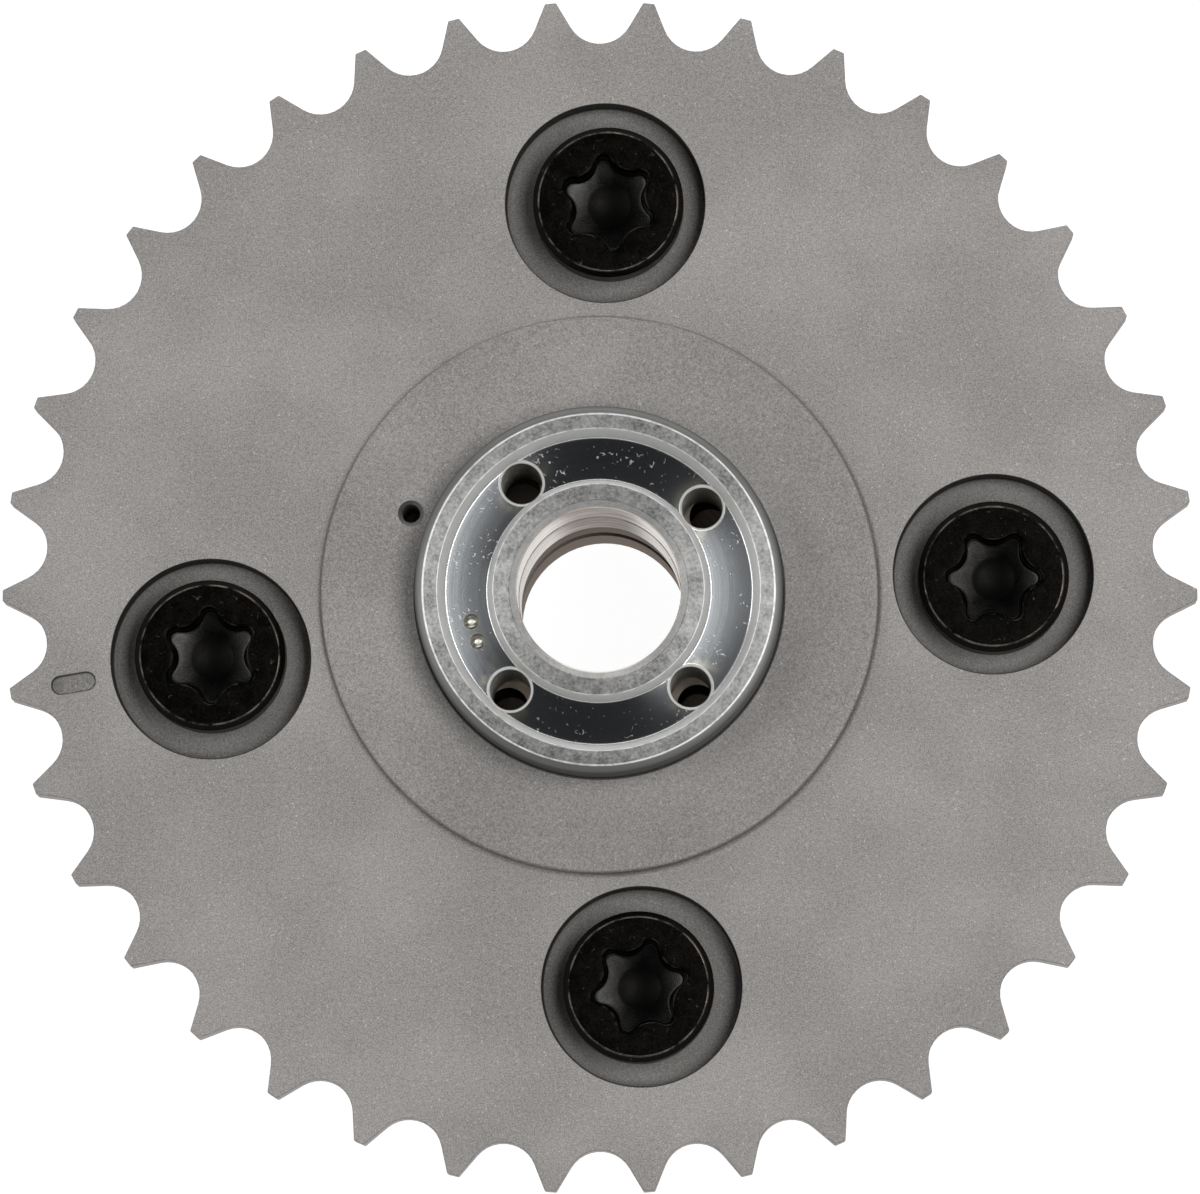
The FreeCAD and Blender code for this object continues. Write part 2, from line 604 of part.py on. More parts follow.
def lobe_seal(degrees):
    """The seal bar in a lobe's tip, hollowed to the rotor's body."""
    tip = BODY_R + SEAL_GAP
    block = bar(BODY_R - SEAL_H, tip + SEAL_H, SEAL_W, degrees, ROTOR_Z, ROTOR_TOP_Z)
    return block.cut(disc(tip, ROTOR_Z - OVERCUT, ROTOR_TOP_Z + OVERCUT))


def leaf_spring(degrees, foot_r, bow):
    """A bowed strip that presses a seal bar: its ends at foot_r, its middle bow further out."""
    low, high = ROTOR_Z + LEAF_END_GAP, ROTOR_TOP_Z - LEAF_END_GAP
    middle = (low + high) / 2
    outer = foot_r + LEAF_T

    def arc(radius):
        ends = (FreeCAD.Vector(radius, 0, low), FreeCAD.Vector(radius, 0, high))
        return Part.Arc(ends[0], FreeCAD.Vector(radius + bow, 0, middle), ends[1]).toShape()

    def cap(z):
        return Part.LineSegment(FreeCAD.Vector(foot_r, 0, z), FreeCAD.Vector(outer, 0, z)).toShape()

    width = SEAL_W - 2 * LEAF_SIDE_GAP
    strip = Part.Face(Part.Wire([arc(foot_r), cap(high), arc(outer), cap(low)]))
    strip.translate(FreeCAD.Vector(0, -width / 2, 0))
    return spun(strip.extrude(FreeCAD.Vector(0, width, 0)), degrees)


def vane_seal_spring(degrees):
    """The leaf spring under a vane's seal bar."""
    foot_r = CHAMBER_R - SEAL_GAP - SEAL_H - LEAF_SPACE + LEAF_TOUCH_GAP
    return leaf_spring(degrees, foot_r, LEAF_SPACE - LEAF_T - 2 * LEAF_TOUCH_GAP)


def lobe_seal_spring(degrees):
    """The leaf spring behind a lobe's seal bar, bowed inwards."""
    foot_r = BODY_R + SEAL_GAP + SEAL_H + LEAF_SPACE - LEAF_TOUCH_GAP - LEAF_T
    return leaf_spring(degrees, foot_r, LEAF_T + 2 * LEAF_TOUCH_GAP - LEAF_SPACE)


# Locking pin

def lock_pin():
    """The stepped pin: a tapered nose, a guided body and a pocket for its spring."""
    top = SPRING_SEAT_Z - PIN_STOP_GAP - PIN_TRAVEL
    floor = PIN_Z + PIN_POCKET_FLOOR
    return turned([
        (0, PIN_Z), (PIN_NOSE_R - PIN_NOSE_TAPER, PIN_Z), (PIN_NOSE_R, PIN_Z + PIN_NOSE_L / 2),
        (PIN_NOSE_R, PIN_Z + PIN_NOSE_L), (PIN_R - PIN_EDGE, PIN_Z + PIN_NOSE_L),
        (PIN_R, PIN_Z + PIN_NOSE_L + PIN_EDGE), (PIN_R, top - PIN_EDGE), (PIN_R - PIN_EDGE, top),
        (PIN_POCKET_R, top), (PIN_POCKET_R, floor), (0, floor),
    ], at(PIN_PCR, PIN_DEG))


def lock_bush():
    """The hardened bush in the front cover that the pin's nose drops into."""
    inner = PIN_NOSE_R + BUSH_PIN_GAP
    bush = turned([
        (inner, BUSH_Z), (BUSH_R, BUSH_Z), (BUSH_R, COVER_T),
        (inner + PIN_EDGE, COVER_T), (inner, COVER_T - PIN_EDGE),
    ], at(PIN_PCR, PIN_DEG))
    return bush.cut(feed_groove())


def lock_spring_seat():
    """The vented plug that the pin's spring pushes against."""
    return turned([
        (VENT_R, SPRING_SEAT_Z), (PIN_BORE_R - PRESS_GAP, SPRING_SEAT_Z),
        (PIN_BORE_R - PRESS_GAP, SPRING_SEAT_Z + SPRING_SEAT_T),
        (VENT_R, SPRING_SEAT_Z + SPRING_SEAT_T),
    ], at(PIN_PCR, PIN_DEG))


def lock_pin_spring():
    """The coil spring between the pin's pocket and its seat, with ground ends."""
    low = PIN_Z + PIN_POCKET_FLOOR + SPRING_END_GAP
    high = SPRING_SEAT_Z - SPRING_END_GAP
    pitch = (high - low) / SPRING_TURNS
    helix = Part.makeHelix(pitch, high - low, SPRING_R)
    section = Part.Wire(Part.makeCircle(
        SPRING_WIRE_R, FreeCAD.Vector(SPRING_R, 0, 0), FreeCAD.Vector(0, 1, 0)))
    coil = Part.Wire(helix).makePipeShell([section], True, True)
    coil.translate(FreeCAD.Vector(0, 0, low))
    coil = coil.common(disc(2 * SPRING_R, low, high))
    coil.translate(at(PIN_PCR, PIN_DEG))
    return coil


def main():
    os.makedirs("parts", exist_ok=True)
    export(sprocket_plate(), "sprocket_plate")
    export(housing(), "housing")
    export(front_cover(), "front_cover")
    export(locating_dowel(), "locating_dowel")
    export(rotor(), "rotor")
    export(hub_journal(), "hub_journal")
    export(lock_pin(), "lock_pin")
    export(lock_bush(), "lock_bush")
    export(lock_spring_seat(), "lock_spring_seat")
    export(lock_pin_spring(), "lock_pin_spring")
    for number, degrees in enumerate(SCREW_DEGS, 1):
        export(cover_screw(degrees, SCREW_TURN_DEGS[number - 1]), f"cover_screw_{number}")
        export(lobe_seal(degrees), f"lobe_seal_{number}")
        export(lobe_seal_spring(degrees), f"lobe_seal_spring_{number}")
    for number, (start, end) in enumerate(vane_spans(), 1):
        export(vane_seal((start + end) / 2), f"vane_seal_{number}")
        export(vane_seal_spring((start + end) / 2), f"vane_seal_spring_{number}")


main()
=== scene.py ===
# %% [markdown]
# # A cam phaser, seen from the camshaft's side
#
# A cam phaser sits on the front of a camshaft. Its chain wheel and housing turn with the timing
# chain, and a four-vane rotor inside turns with the camshaft. Oil pushed to one side or the other of
# each vane turns the rotor a few degrees, and so shifts the valve timing. This script dresses the
# packed CAD part: it loads the frame, builds finer surfaces for the pieces that the camera sees
# closely, and gives every piece a finish made of shader nodes.
#
# Sizes are written in millimetres, as on the drawing, and turned into Blender's metres in one place.

import functools
import math
import types

import bmesh
import bpy
import numpy as np
from mathutils import Matrix, Vector
from mathutils.geometry import delaunay_2d_cdt


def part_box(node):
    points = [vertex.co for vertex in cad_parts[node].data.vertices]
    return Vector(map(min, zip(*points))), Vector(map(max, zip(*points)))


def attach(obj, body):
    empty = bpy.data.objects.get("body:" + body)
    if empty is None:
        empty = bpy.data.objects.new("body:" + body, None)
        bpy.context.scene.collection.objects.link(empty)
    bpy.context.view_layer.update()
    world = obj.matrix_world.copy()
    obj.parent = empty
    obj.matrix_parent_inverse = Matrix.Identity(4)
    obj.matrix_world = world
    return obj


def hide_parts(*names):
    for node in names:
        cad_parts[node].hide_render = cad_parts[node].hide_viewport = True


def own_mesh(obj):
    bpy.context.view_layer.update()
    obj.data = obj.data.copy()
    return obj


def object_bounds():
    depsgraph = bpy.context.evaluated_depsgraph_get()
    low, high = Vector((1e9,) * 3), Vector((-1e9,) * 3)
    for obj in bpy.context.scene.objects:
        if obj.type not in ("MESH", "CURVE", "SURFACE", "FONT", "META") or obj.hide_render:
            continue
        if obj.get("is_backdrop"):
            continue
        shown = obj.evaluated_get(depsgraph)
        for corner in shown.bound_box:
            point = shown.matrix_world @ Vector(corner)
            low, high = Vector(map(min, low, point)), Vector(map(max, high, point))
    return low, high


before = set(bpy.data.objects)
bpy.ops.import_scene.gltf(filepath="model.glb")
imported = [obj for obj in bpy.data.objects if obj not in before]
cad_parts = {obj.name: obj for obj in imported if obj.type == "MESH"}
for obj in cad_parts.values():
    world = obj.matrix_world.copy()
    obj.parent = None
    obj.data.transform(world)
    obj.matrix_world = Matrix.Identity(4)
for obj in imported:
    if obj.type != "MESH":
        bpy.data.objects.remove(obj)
cad_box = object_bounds()
MM = 0.001

# %% [markdown]
# ## Camera
#
# The photograph was taken from nearly straight above the wheel, with a long lens. How far the bore's
# far rim is shifted against its near rim gives the tilt: about four degrees, towards the viewer. The
# camera is placed along that direction, and its up direction is the picture's own.

# %% Camera at the photograph's angle
CAMERA_TARGET = Vector((0, 0, 39.9)) * MM
TOWARDS_CAMERA = Vector((0.01398, -0.07543, 0.99705))
CAMERA_DISTANCE = 1.2
PICTURE_WIDTH = 118.08 * MM
SENSOR_WIDTH = 36.0

across = Vector((0, 1, 0)).cross(TOWARDS_CAMERA).normalized()
upwards = TOWARDS_CAMERA.cross(across)
turn = Matrix((across, upwards, TOWARDS_CAMERA)).transposed().to_4x4()
camera = bpy.data.objects.new("photo_camera", bpy.data.cameras.new("photo_camera"))
camera.data.sensor_width = SENSOR_WIDTH
camera.data.lens = SENSOR_WIDTH * CAMERA_DISTANCE / PICTURE_WIDTH
camera.matrix_world = Matrix.Translation(CAMERA_TARGET + TOWARDS_CAMERA * CAMERA_DISTANCE) @ turn
bpy.context.collection.objects.link(camera)
bpy.context.scene.camera = camera
bpy.context.scene.view_settings.view_transform = "Standard"
print(f"lens {camera.data.lens:.0f} mm")

# %% [markdown]
# ## Shader maths
#
# A finish is a network of nodes. Written as node calls, even `1 - mask` takes five lines, so one
# small class wraps a socket and turns Python's operators into Math nodes.

# %% Shader maths as Python expressions
class Value:
    """A number that changes over a surface: a socket whose operators add Math nodes."""

    def __init__(self, finish, socket):
        self.finish, self.socket = finish, socket

    def __add__(self, other): return self.finish.maths("ADD", self, other)
    def __sub__(self, other): return self.finish.maths("SUBTRACT", self, other)
    def __rsub__(self, other): return self.finish.maths("SUBTRACT", other, self)
    def __mul__(self, other): return self.finish.maths("MULTIPLY", self, other)
    def __truediv__(self, other): return self.finish.maths("DIVIDE", self, other)
    __radd__, __rmul__ = __add__, __mul__

    def clipped(self):
        """Held between 0 and 1."""
        return self.finish.maths("ADD", self, 0, use_clamp=True)

    def rise(self, start, end):
        """0 before start, 1 after end, smooth in between."""
        return self.finish.node("ShaderNodeMapRange", {"interpolation_type": "SMOOTHSTEP"},
                                {"Value": self, "From Min": start, "From Max": end})

    def near(self, middle, reach):
        """1 close to the middle value, and 0 further than reach from it."""
        return self.finish.maths("ABSOLUTE", self - middle).rise(reach, reach / 3)


print("besides + - * /, a Value has", [name for name in vars(Value) if not name.startswith("_")])

# %% [markdown]
# A second class holds the material that is being made, and adds every other node through one method.
# Object coordinates keep every pattern fixed to its piece, whatever its pose.

# %% A material in the making
class Network:
    """A material in the making. Places on it are Object coordinates, in millimetres."""

    def __init__(self, name):
        self.material = bpy.data.materials.new(name)
        self.material.use_nodes = True
        self.material.node_tree.nodes.clear()
        place = self.node("ShaderNodeTexCoord", {}, {}, "Object")
        self.place = self.node("ShaderNodeVectorMath", {"operation": "SCALE"},
                               {0: place, "Scale": 1 / MM})
        self.x, self.y, self.z = (
            self.node("ShaderNodeSeparateXYZ", {}, {0: self.place}, axis) for axis in "XYZ")
        self.radius = self.maths("SQRT", self.x * self.x + self.y * self.y)

    def node(self, kind, settings, sockets, output=0):
        """Adds a node: its settings first, then the values or links of its sockets."""
        node = self.material.node_tree.nodes.new(kind)
        for name, setting in settings.items():
            setattr(node, name, setting)
        for name, value in sockets.items():
            if isinstance(value, Value):
                self.material.node_tree.links.new(value.socket, node.inputs[name])
            else:
                node.inputs[name].default_value = value
        return None if output is None else Value(self, node.outputs[output])

    def maths(self, operation, *terms, **settings):
        """One Math node."""
        settings["operation"] = operation
        return self.node("ShaderNodeMath", settings, dict(enumerate(terms)))

    def vector(self, x, y, z):
        """A place made of three numbers, for noise that is stretched or follows the radius."""
        return self.node("ShaderNodeCombineXYZ", {}, {0: x, 1: y, 2: z})

    def largest(self, *values):
        """The greatest of several masks, which joins them without doubling where they overlap."""
        return functools.reduce(lambda first, second: self.maths("MAXIMUM", first, second), values)

    def blend(self, share, first, second):
        """Colour that goes from first to second as share goes from 0 to 1."""
        def coloured(colour):
            return colour if isinstance(colour, Value) else (*colour[:3], 1)
        return self.node("ShaderNodeMix", {"data_type": "RGBA"},
                         {0: share, 6: coloured(first), 7: coloured(second)}, 2)

    def shader(self, **sockets):
        """A Principled shader. The names of its sockets are written in lower case."""
        named = {name.replace("_", " ").title(): value for name, value in sockets.items()}
        for name, value in named.items():
            if name.endswith("Color") and not isinstance(value, Value):
                named[name] = (*value, 1)
        return self.node("ShaderNodeBsdfPrincipled", {}, named)

    def finished(self, surface):
        """Ends the network in a shader, and returns the material."""
        self.node("ShaderNodeOutputMaterial", {}, {"Surface": surface}, None)
        print(f"{self.material.name}: {len(self.material.node_tree.nodes)} nodes")
        return self.material


print("a Network has", [name for name in vars(Network) if not name.startswith("_")])

# %% [markdown]
# The patterns of worn metal are few: soft noise, random cells, the distance from some spots, and
# scratches. A Bump node turns any of them into a slightly uneven surface.

# %% Patterns of worn metal
class Finish(Network):
    """A material with patterns."""

    def noise(self, size, detail=2.0, rough=0.5, place=None):
        """Soft random pattern from 0 to 1, whose features are about size millimetres."""
        return self.node("ShaderNodeTexNoise", {},
                         {"Vector": place or self.place, "Scale": 1 / size, "Detail": detail,
                          "Roughness": rough})

    def cells(self, size):
        """Random cells of about size millimetres: how far away the nearest middle is."""
        return self.node("ShaderNodeTexVoronoi", {}, {"Vector": self.place, "Scale": 1 / size})

    def distance(self, spots):
        """How far away, in plan, the nearest of the (x, y) spots is."""
        away = []
        for x, y in spots:
            across, along = self.x - x, self.y - y
            away.append(self.maths("SQRT", across * across + along * along))
        return functools.reduce(lambda first, second: self.maths("MINIMUM", first, second), away)

    def scratches(self, size, width, few):
        """Short curved lines, where a soft noise crosses its middle. A higher few keeps fewer."""
        return self.noise(size, 1).near(0.5, width) * self.noise(size * 0.63, 1).rise(few, few + 0.05)

    def bump(self, height, depth):
        """A bumped normal, where height 1 stands depth millimetres above height 0."""
        return self.node("ShaderNodeBump", {}, {"Height": height, "Distance": depth * MM, "Strength": 1.0})


print("a Finish adds", [name for name in vars(Finish) if not name.startswith("_")])

# %% [markdown]
# ## Studio
#
# The photograph has a pure white ground, its main light high on the right, a weaker one lower on the
# left, and nothing bright overhead: the polished oil groove in the hub is black where it faces the
# camera. So a white floor curves up into a pale wall all round, a dark ceiling closes the room, and
# three lamps light the part: right, left, and a weak one low at the back. The camera doesn't see the
# ceiling, and from below it sees through the floor. Floor, wall and ceiling are turned surfaces:
# profiles carried round the axis.

# %% Turned surfaces
AROUND = 256


def rounded(corners, radii, steps=6):
    """A polygon with arcs for corners: [corner * step, 2].

    Each arc's centre stands on the corner's bisector, at radius / sin(half the corner's angle) from
    the corner, and its points go from one tangent direction to the other in equal angles.
    """
    corners, radii = np.array(corners, float), np.broadcast_to(radii, len(corners))[:, None]
    before, after = np.roll(corners, 1, 0) - corners, np.roll(corners, -1, 0) - corners
    before /= np.linalg.norm(before, axis=1, keepdims=True)
    after /= np.linalg.norm(after, axis=1, keepdims=True)
    cosine = (before * after).sum(1, keepdims=True)
    half = np.arccos(np.clip(cosine, -1, 1)) / 2
    bisector = before + after
    length = np.linalg.norm(bisector, axis=1, keepdims=True)
    bisector = np.where(length > 1e-9, bisector / np.maximum(length, 1e-9), 0)
    centre = corners + bisector * radii / np.maximum(np.sin(half), 1e-9)
    tangent = radii / np.maximum(np.tan(half), 1e-9)
    start, end = corners + before * tangent - centre, corners + after * tangent - centre
    first = np.arctan2(start[:, 1], start[:, 0])
    swing = np.arctan2(end[:, 1], end[:, 0]) - first
    swing = (swing + np.pi) % (2 * np.pi) - np.pi
    angle = first[:, None] + swing[:, None] * np.linspace(0, 1, steps)
    arc = centre[:, None] + radii[:, None] * np.stack([np.cos(angle), np.sin(angle)], -1)
    return arc.reshape(-1, 2)


def turned(profile, centre=(0, 0), around=AROUND):
    """A grid [step, turn, 3]: every (radius, level) of the profile goes round a vertical axis."""
    profile = np.array(profile, float)
    angle = np.linspace(0, 2 * np.pi, around, endpoint=False)
    x = centre[0] + profile[:, :1] * np.cos(angle)
    y = centre[1] + profile[:, :1] * np.sin(angle)
    return np.stack([x, y, np.broadcast_to(profile[:, 1:], x.shape)], -1)


square = rounded([(-1, -1), (1, -1), (1, 1), (-1, 1)], 0.5)
print(f"a square with rounded corners: {len(square)} points, turned: {turned(square).shape}")

# %% [markdown]
# Every new piece is made of such grids, closed around, and of flat faces that are filled between
# closed loops. A face with holes could be one polygon cut by hand, but Blender has a triangulation
# that keeps to given edges, and it takes any number of holes.

# %% Flat faces between loops
MERGE = 1e-4


def flat_face(outline, holes, level):
    """Triangles that fill the outline but not its holes, at one level: (points, triangles).

    The triangulation also fills the holes. A triangle stays if a line from its middle towards +X
    crosses the loops an odd number of times.
    """
    loops = [loop[:, :2] for loop in (outline, *holes)]
    firsts = np.cumsum([0] + [len(loop) for loop in loops[:-1]])
    numbers = [first + np.arange(len(loop)) for first, loop in zip(firsts, loops)]
    edges = np.concatenate([np.stack([n, np.roll(n, -1)], -1) for n in numbers])
    border = np.concatenate(loops)
    found, _, triangles, *_ = delaunay_2d_cdt(
        [Vector(point) for point in border], edges.tolist(), [], 1, 1e-7)
    found, triangles = np.array(found), np.array(triangles)
    middle = found[triangles].mean(1)[:, None]
    start, end = border[edges[:, 0]], border[edges[:, 1]]
    spans = (start[:, 1] > middle[..., 1]) != (end[:, 1] > middle[..., 1])
    rise = np.where(start[:, 1] == end[:, 1], 1, end[:, 1] - start[:, 1])
    crossing = start[:, 0] + (middle[..., 1] - start[:, 1]) / rise * (end[:, 0] - start[:, 0])
    crossed = (spans & (crossing > middle[..., 0])).sum(1)
    points = np.column_stack([found, np.full(len(found), level)])
    return points, triangles[crossed % 2 == 1]


print("triangles in a square with a square hole:", len(flat_face(2 * square, [square], 0)[1]))

# %% [markdown]
# The grids and faces of one surface share their border points, so merging the doubles closes it. A
# count of open edges is printed for each piece: it has to be 0 on everything but the room.

# %% One mesh from grids and flat faces
def grid_faces(grid, closed_along=False):
    """The quads between neighbouring points of a grid that is closed around."""
    steps, around = grid.shape[:2]
    number = np.arange(steps * around).reshape(steps, around)
    number = np.concatenate([number, number[:1]]) if closed_along else number
    here, there = number[:-1], number[1:]
    quads = [here, np.roll(here, -1, 1), np.roll(there, -1, 1), there]
    return np.stack(quads, -1).reshape(-1, 4)


def piece(name, grids=(), faces=(), closed_along=False):
    """One mesh object from grids and flat faces, in metres, with its doubles merged."""
    points, polygons, count = [], [], 0
    parts = [(grid.reshape(-1, 3), grid_faces(grid, closed_along)) for grid in grids]
    for part_points, part_faces in parts + list(faces):
        points.append(part_points)
        polygons += (part_faces + count).tolist()
        count += len(part_points)
    mesh = bpy.data.meshes.new(name)
    mesh.from_pydata(np.concatenate(points), [], polygons)
    welded = bmesh.new()
    welded.from_mesh(mesh)
    bmesh.ops.remove_doubles(welded, verts=welded.verts, dist=MERGE)
    bmesh.ops.recalc_face_normals(welded, faces=welded.faces)
    open_edges = sum(not edge.is_manifold for edge in welded.edges)
    bmesh.ops.scale(welded, vec=(MM, MM, MM), verts=welded.verts)
    welded.to_mesh(mesh)
    welded.free()
    thing = bpy.data.objects.new(name, mesh)
    bpy.context.collection.objects.link(thing)
    print(f"{name}: {len(mesh.polygons)} faces, {open_edges} open edges")
    return thing


# %% [markdown]
# Smooth shading would round the flat faces near an edge. Weighted normals let each large flat face
# decide how its border is shaded, so only the small rounding between two faces looks round. A
# dressed piece hides the CAD nodes it stands for and is parented to the body that carries it.

# %% Shading and dressing
def smooth(thing, sharp_degrees=32):
    """Smooth shading, but not over edges sharper than that."""
    thing.data.shade_smooth()
    thing.data.set_sharp_from_angle(angle=math.radians(sharp_degrees))
    thing.modifiers.new("weighted_normals", "WEIGHTED_NORMAL").keep_sharp = True


def dress(thing, body, slot, material, *nodes):
    """A new piece stands for CAD nodes: it rides on their body and shows a finish."""
    thing.data.materials.clear()
    thing.data.materials.append(material)
    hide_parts(*nodes)
    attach(thing, body)


# %% [markdown]
# The lamps light the part off plain pale paint, but a camera ray or a reflection meets an even glow
# instead, so the ground is pure white without more light on the part. The Light Path node tells the
# two kinds of ray apart.

# %% Paint of the room
ROOM_R, ROOM_BEND, ROOM_TOP, FLOOR_DROP = 3000, 800, 2400, 0.02
PALE, FLOOR_SHARE, DARK = 0.9, 0.2, 0.12
FLOOR_GLOW, WALL_GLOW = 0.97, 0.7
WHITE = (1.0, 1.0, 1.0, 1.0)


def grey(share):
    """A grey that returns that share of the light."""
    return (share, share, share, 1)


def pale_sweep():
    """Diffuse light meets plain pale paint. The camera and reflections see an even glow, darkened
    a little where the part keeps the light off. Only reflections see that the wall is darker than the
    floor. The side that faces down is see-through."""
    finish = Finish("pale_sweep")
    camera, glossy, transmission = (finish.node("ShaderNodeLightPath", {}, {}, f"Is {kind} Ray")
                                    for kind in ("Camera", "Glossy", "Transmission"))
    seen = finish.largest(camera, glossy, transmission)
    tone = finish.blend(finish.z.rise(0, ROOM_BEND) * (1 - camera), grey(FLOOR_GLOW), grey(WALL_GLOW))
    paint = finish.node("ShaderNodeBsdfDiffuse", {}, {"Color": grey(PALE)})
    shadow = finish.node("ShaderNodeBsdfDiffuse", {}, {"Color": grey(FLOOR_SHARE)})
    glow = finish.node("ShaderNodeEmission", {}, {"Color": tone})
    shown = finish.node("ShaderNodeAddShader", {}, {0: shadow, 1: glow})
    front = finish.node("ShaderNodeMixShader", {}, {0: seen, 1: paint, 2: shown})
    behind = finish.node("ShaderNodeNewGeometry", {}, {}, "Backfacing")
    through = finish.node("ShaderNodeBsdfTransparent", {}, {})
    return finish.finished(finish.node("ShaderNodeMixShader", {}, {0: behind, 1: front, 2: through}))


def dark_ceiling():
    """A dim even glow, which the polished parts show as black."""
    finish = Finish("dark_ceiling")
    return finish.finished(finish.node("ShaderNodeEmission", {}, {"Color": grey(DARK)}))


SWEEP_PAINT, CEILING_PAINT = pale_sweep(), dark_ceiling()

# %% [markdown]
# The room is one profile: flat floor, a quarter circle, and a straight wall. It faces inwards, and
# the world's white is seen only from below, through the floor.

# %% The room
room = rounded([(0, -FLOOR_DROP), (ROOM_R, -FLOOR_DROP), (ROOM_R, ROOM_TOP)], [0, ROOM_BEND, 0], 24)
sweep = piece("sweep", [turned(room, around=96)])
if sweep.data.polygons[0].normal.z < 0:
    sweep.data.flip_normals()
sweep.data.shade_smooth()
sweep.data.materials.append(SWEEP_PAINT)
ceiling = piece("ceiling", [turned([(0, ROOM_TOP), (ROOM_R, ROOM_TOP)], around=96)])
ceiling.data.materials.append(CEILING_PAINT)
ceiling.visible_camera = False
sweep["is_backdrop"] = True
ceiling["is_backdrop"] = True

world = bpy.data.worlds.new("white_world")
world.use_nodes = True
world.node_tree.nodes["Background"].inputs["Color"].default_value = WHITE
bpy.context.scene.world = world

# %% [markdown]
# A turned metal face shows each lamp as two bright sectors, left and right of its centre. The size and
# height of a lamp set how wide and how long a sector is, which is how these three were found.

# %% Three lamps
LAMPS = {
    "left_lamp": (Vector((-0.53, 0, 0.73)), (0.36, 0.36), 1.75),
    "right_lamp": (Vector((0.46, 0, 1.53)), (0.8, 0.5), 11.0),
    "back_lamp": (Vector((0, 0.6, 0.3)), (0.8, 0.25), 1.5),
}

for name, (place, size, watts) in LAMPS.items():
    light = bpy.data.lights.new(name, "AREA")
    light.shape, (light.size, light.size_y), light.energy = "RECTANGLE", size, watts
    lamp = bpy.data.objects.new(name, light)
    lamp.location = place
    lamp.rotation_euler = place.to_track_quat("Z", "Y").to_euler()
    lamp.visible_camera = False
    bpy.context.collection.objects.link(lamp)
    elevation = math.degrees(math.asin(place.z / place.length))
    print(f"{name}: {watts} W, {elevation:.0f} degrees above the floor")

# %% [markdown]
# ## Chain wheel
#
# The wheel is a flat plate with edges all round: its outline, its pockets, its holes. Modelling it
# means carrying one small rounded edge profile along each outline, and then filling the flat faces
# between them. The tooth outline itself is a polygon with rounded corners: two small corners at
# each tip, and one large arc in each gap that fits the chain's roller. The rollers' centres lie one
# pitch apart on a circle, whose radius is half the pitch over the sine of half a tooth's angle.
#
# In the names, R is a radius, Z a level above the foot of the part, PCR the radius of the circle on
# which some centres lie, AT an angle in degrees from the right, and L and W a length and a width.

# %% Sizes of the chain wheel
TEETH, PITCH = 38, 9.525
ROLLER_R, ROLLER_SEAT_R, TIP_RISE = 3.175, 3.335, 1.0
ROOT_R = PITCH / 2 / math.sin(math.pi / TEETH) - ROLLER_R
TIP_R = PITCH / 2 / math.sin(math.pi / TEETH) + TIP_RISE
FLANK = math.radians(26.3)
TIP_CORNER_R = 0.16
HOUSING_R = 50.0
PLATE_Z, TOOTH_Z, FACE_Z, DISC_Z = 33.0, 37.4, 42.4, 43.6
DISC_R, DISC_EDGE_R, DISC_FOOT = 27.4, 0.3, 0.5
EDGE_R, EDGE_LAND, WIDE_LAND, MARK_LAND = 0.1, 0.13, 1.0, 0.3
SCREW_AT = (2.55, 88.75, 188.85, 275.65)
SCREW_PCR, POCKET_LEAD = 38.7, 0.45
POCKET_R, POCKET_Z, POCKET_FOOT_R, SCREW_HOLE_R = 9.8, 38.6, 0.25, 4.4
BORE_R, BORE_CHAMFER = 18.05, 0.2
VENT_R, VENT_CHAMFER, VENT_PCR, VENT_AT = 0.9, 0.37, 20.15, 156.7
DOWEL_HOLE_R, DOWEL_PCR, DOWEL_AT, DOWEL_HOLE_Z = 2.01, 46.5, 46.0, 36.1
MARK_TOOTH, MARK_L, MARK_W, MARK_DEPTH, MARK_SLOPE, MARK_FOOT_R = 20, 4.43, 1.9, 0.5, 0.12, 0.12
MARK_FROM_ROOT = 2.1
MARK_R = ROOT_R - MARK_FROM_ROOT
SMALL_AROUND, POCKET_AROUND, WIDE_AROUND = 48, 160, 360
print(f"root radius {ROOT_R:.2f} mm, tip radius {TIP_R:.2f} mm")

# %% [markdown]
# Outlines are closed rows of points in the wheel's plane. The teeth are worked out for one gap, and
# one array of angles repeats them round the wheel.

# %% Outline of the teeth
def around_axis(radius, degrees):
    """The point at that radius and angle, seen from above."""
    angle = math.radians(degrees)
    return np.array([radius * math.cos(angle), radius * math.sin(angle)])


def tooth_outline():
    """The closed outline [point, 2]: gap, tip corner, tip corner, and so on round the wheel.

    Two neighbouring flanks are straight and meet below the gap's arc, on the gap's centre line. In a
    frame on that line, a flank leaves the meeting point at the slope angle and ends at the tip circle.
    """
    half_pitch = math.pi / TEETH
    slope = FLANK + half_pitch
    meet_r = ROOT_R + ROLLER_SEAT_R - ROLLER_SEAT_R / math.sin(slope)
    along = meet_r * math.cos(slope)
    reach = -along + math.sqrt(along ** 2 + TIP_R ** 2 - meet_r ** 2)
    corner = math.atan2(reach * math.sin(slope), meet_r + reach * math.cos(slope))
    gaps = (2 * np.arange(TEETH) + 1) * half_pitch
    angle = gaps[:, None] + np.array([0, corner, 2 * half_pitch - corner])
    radius = np.array([meet_r, TIP_R, TIP_R])
    corners = np.stack([radius * np.cos(angle), radius * np.sin(angle)], -1).reshape(-1, 2)
    return rounded(corners, np.tile([ROLLER_SEAT_R, TIP_CORNER_R, TIP_CORNER_R], TEETH), 12)


print("points round the teeth:", len(tooth_outline()))

# %% [markdown]
# The timing mark is a slot, so its outline is a long rectangle whose corners are nearly half its
# width. An edge that isn't a circle can't be turned, so its profile is carried along the outline.

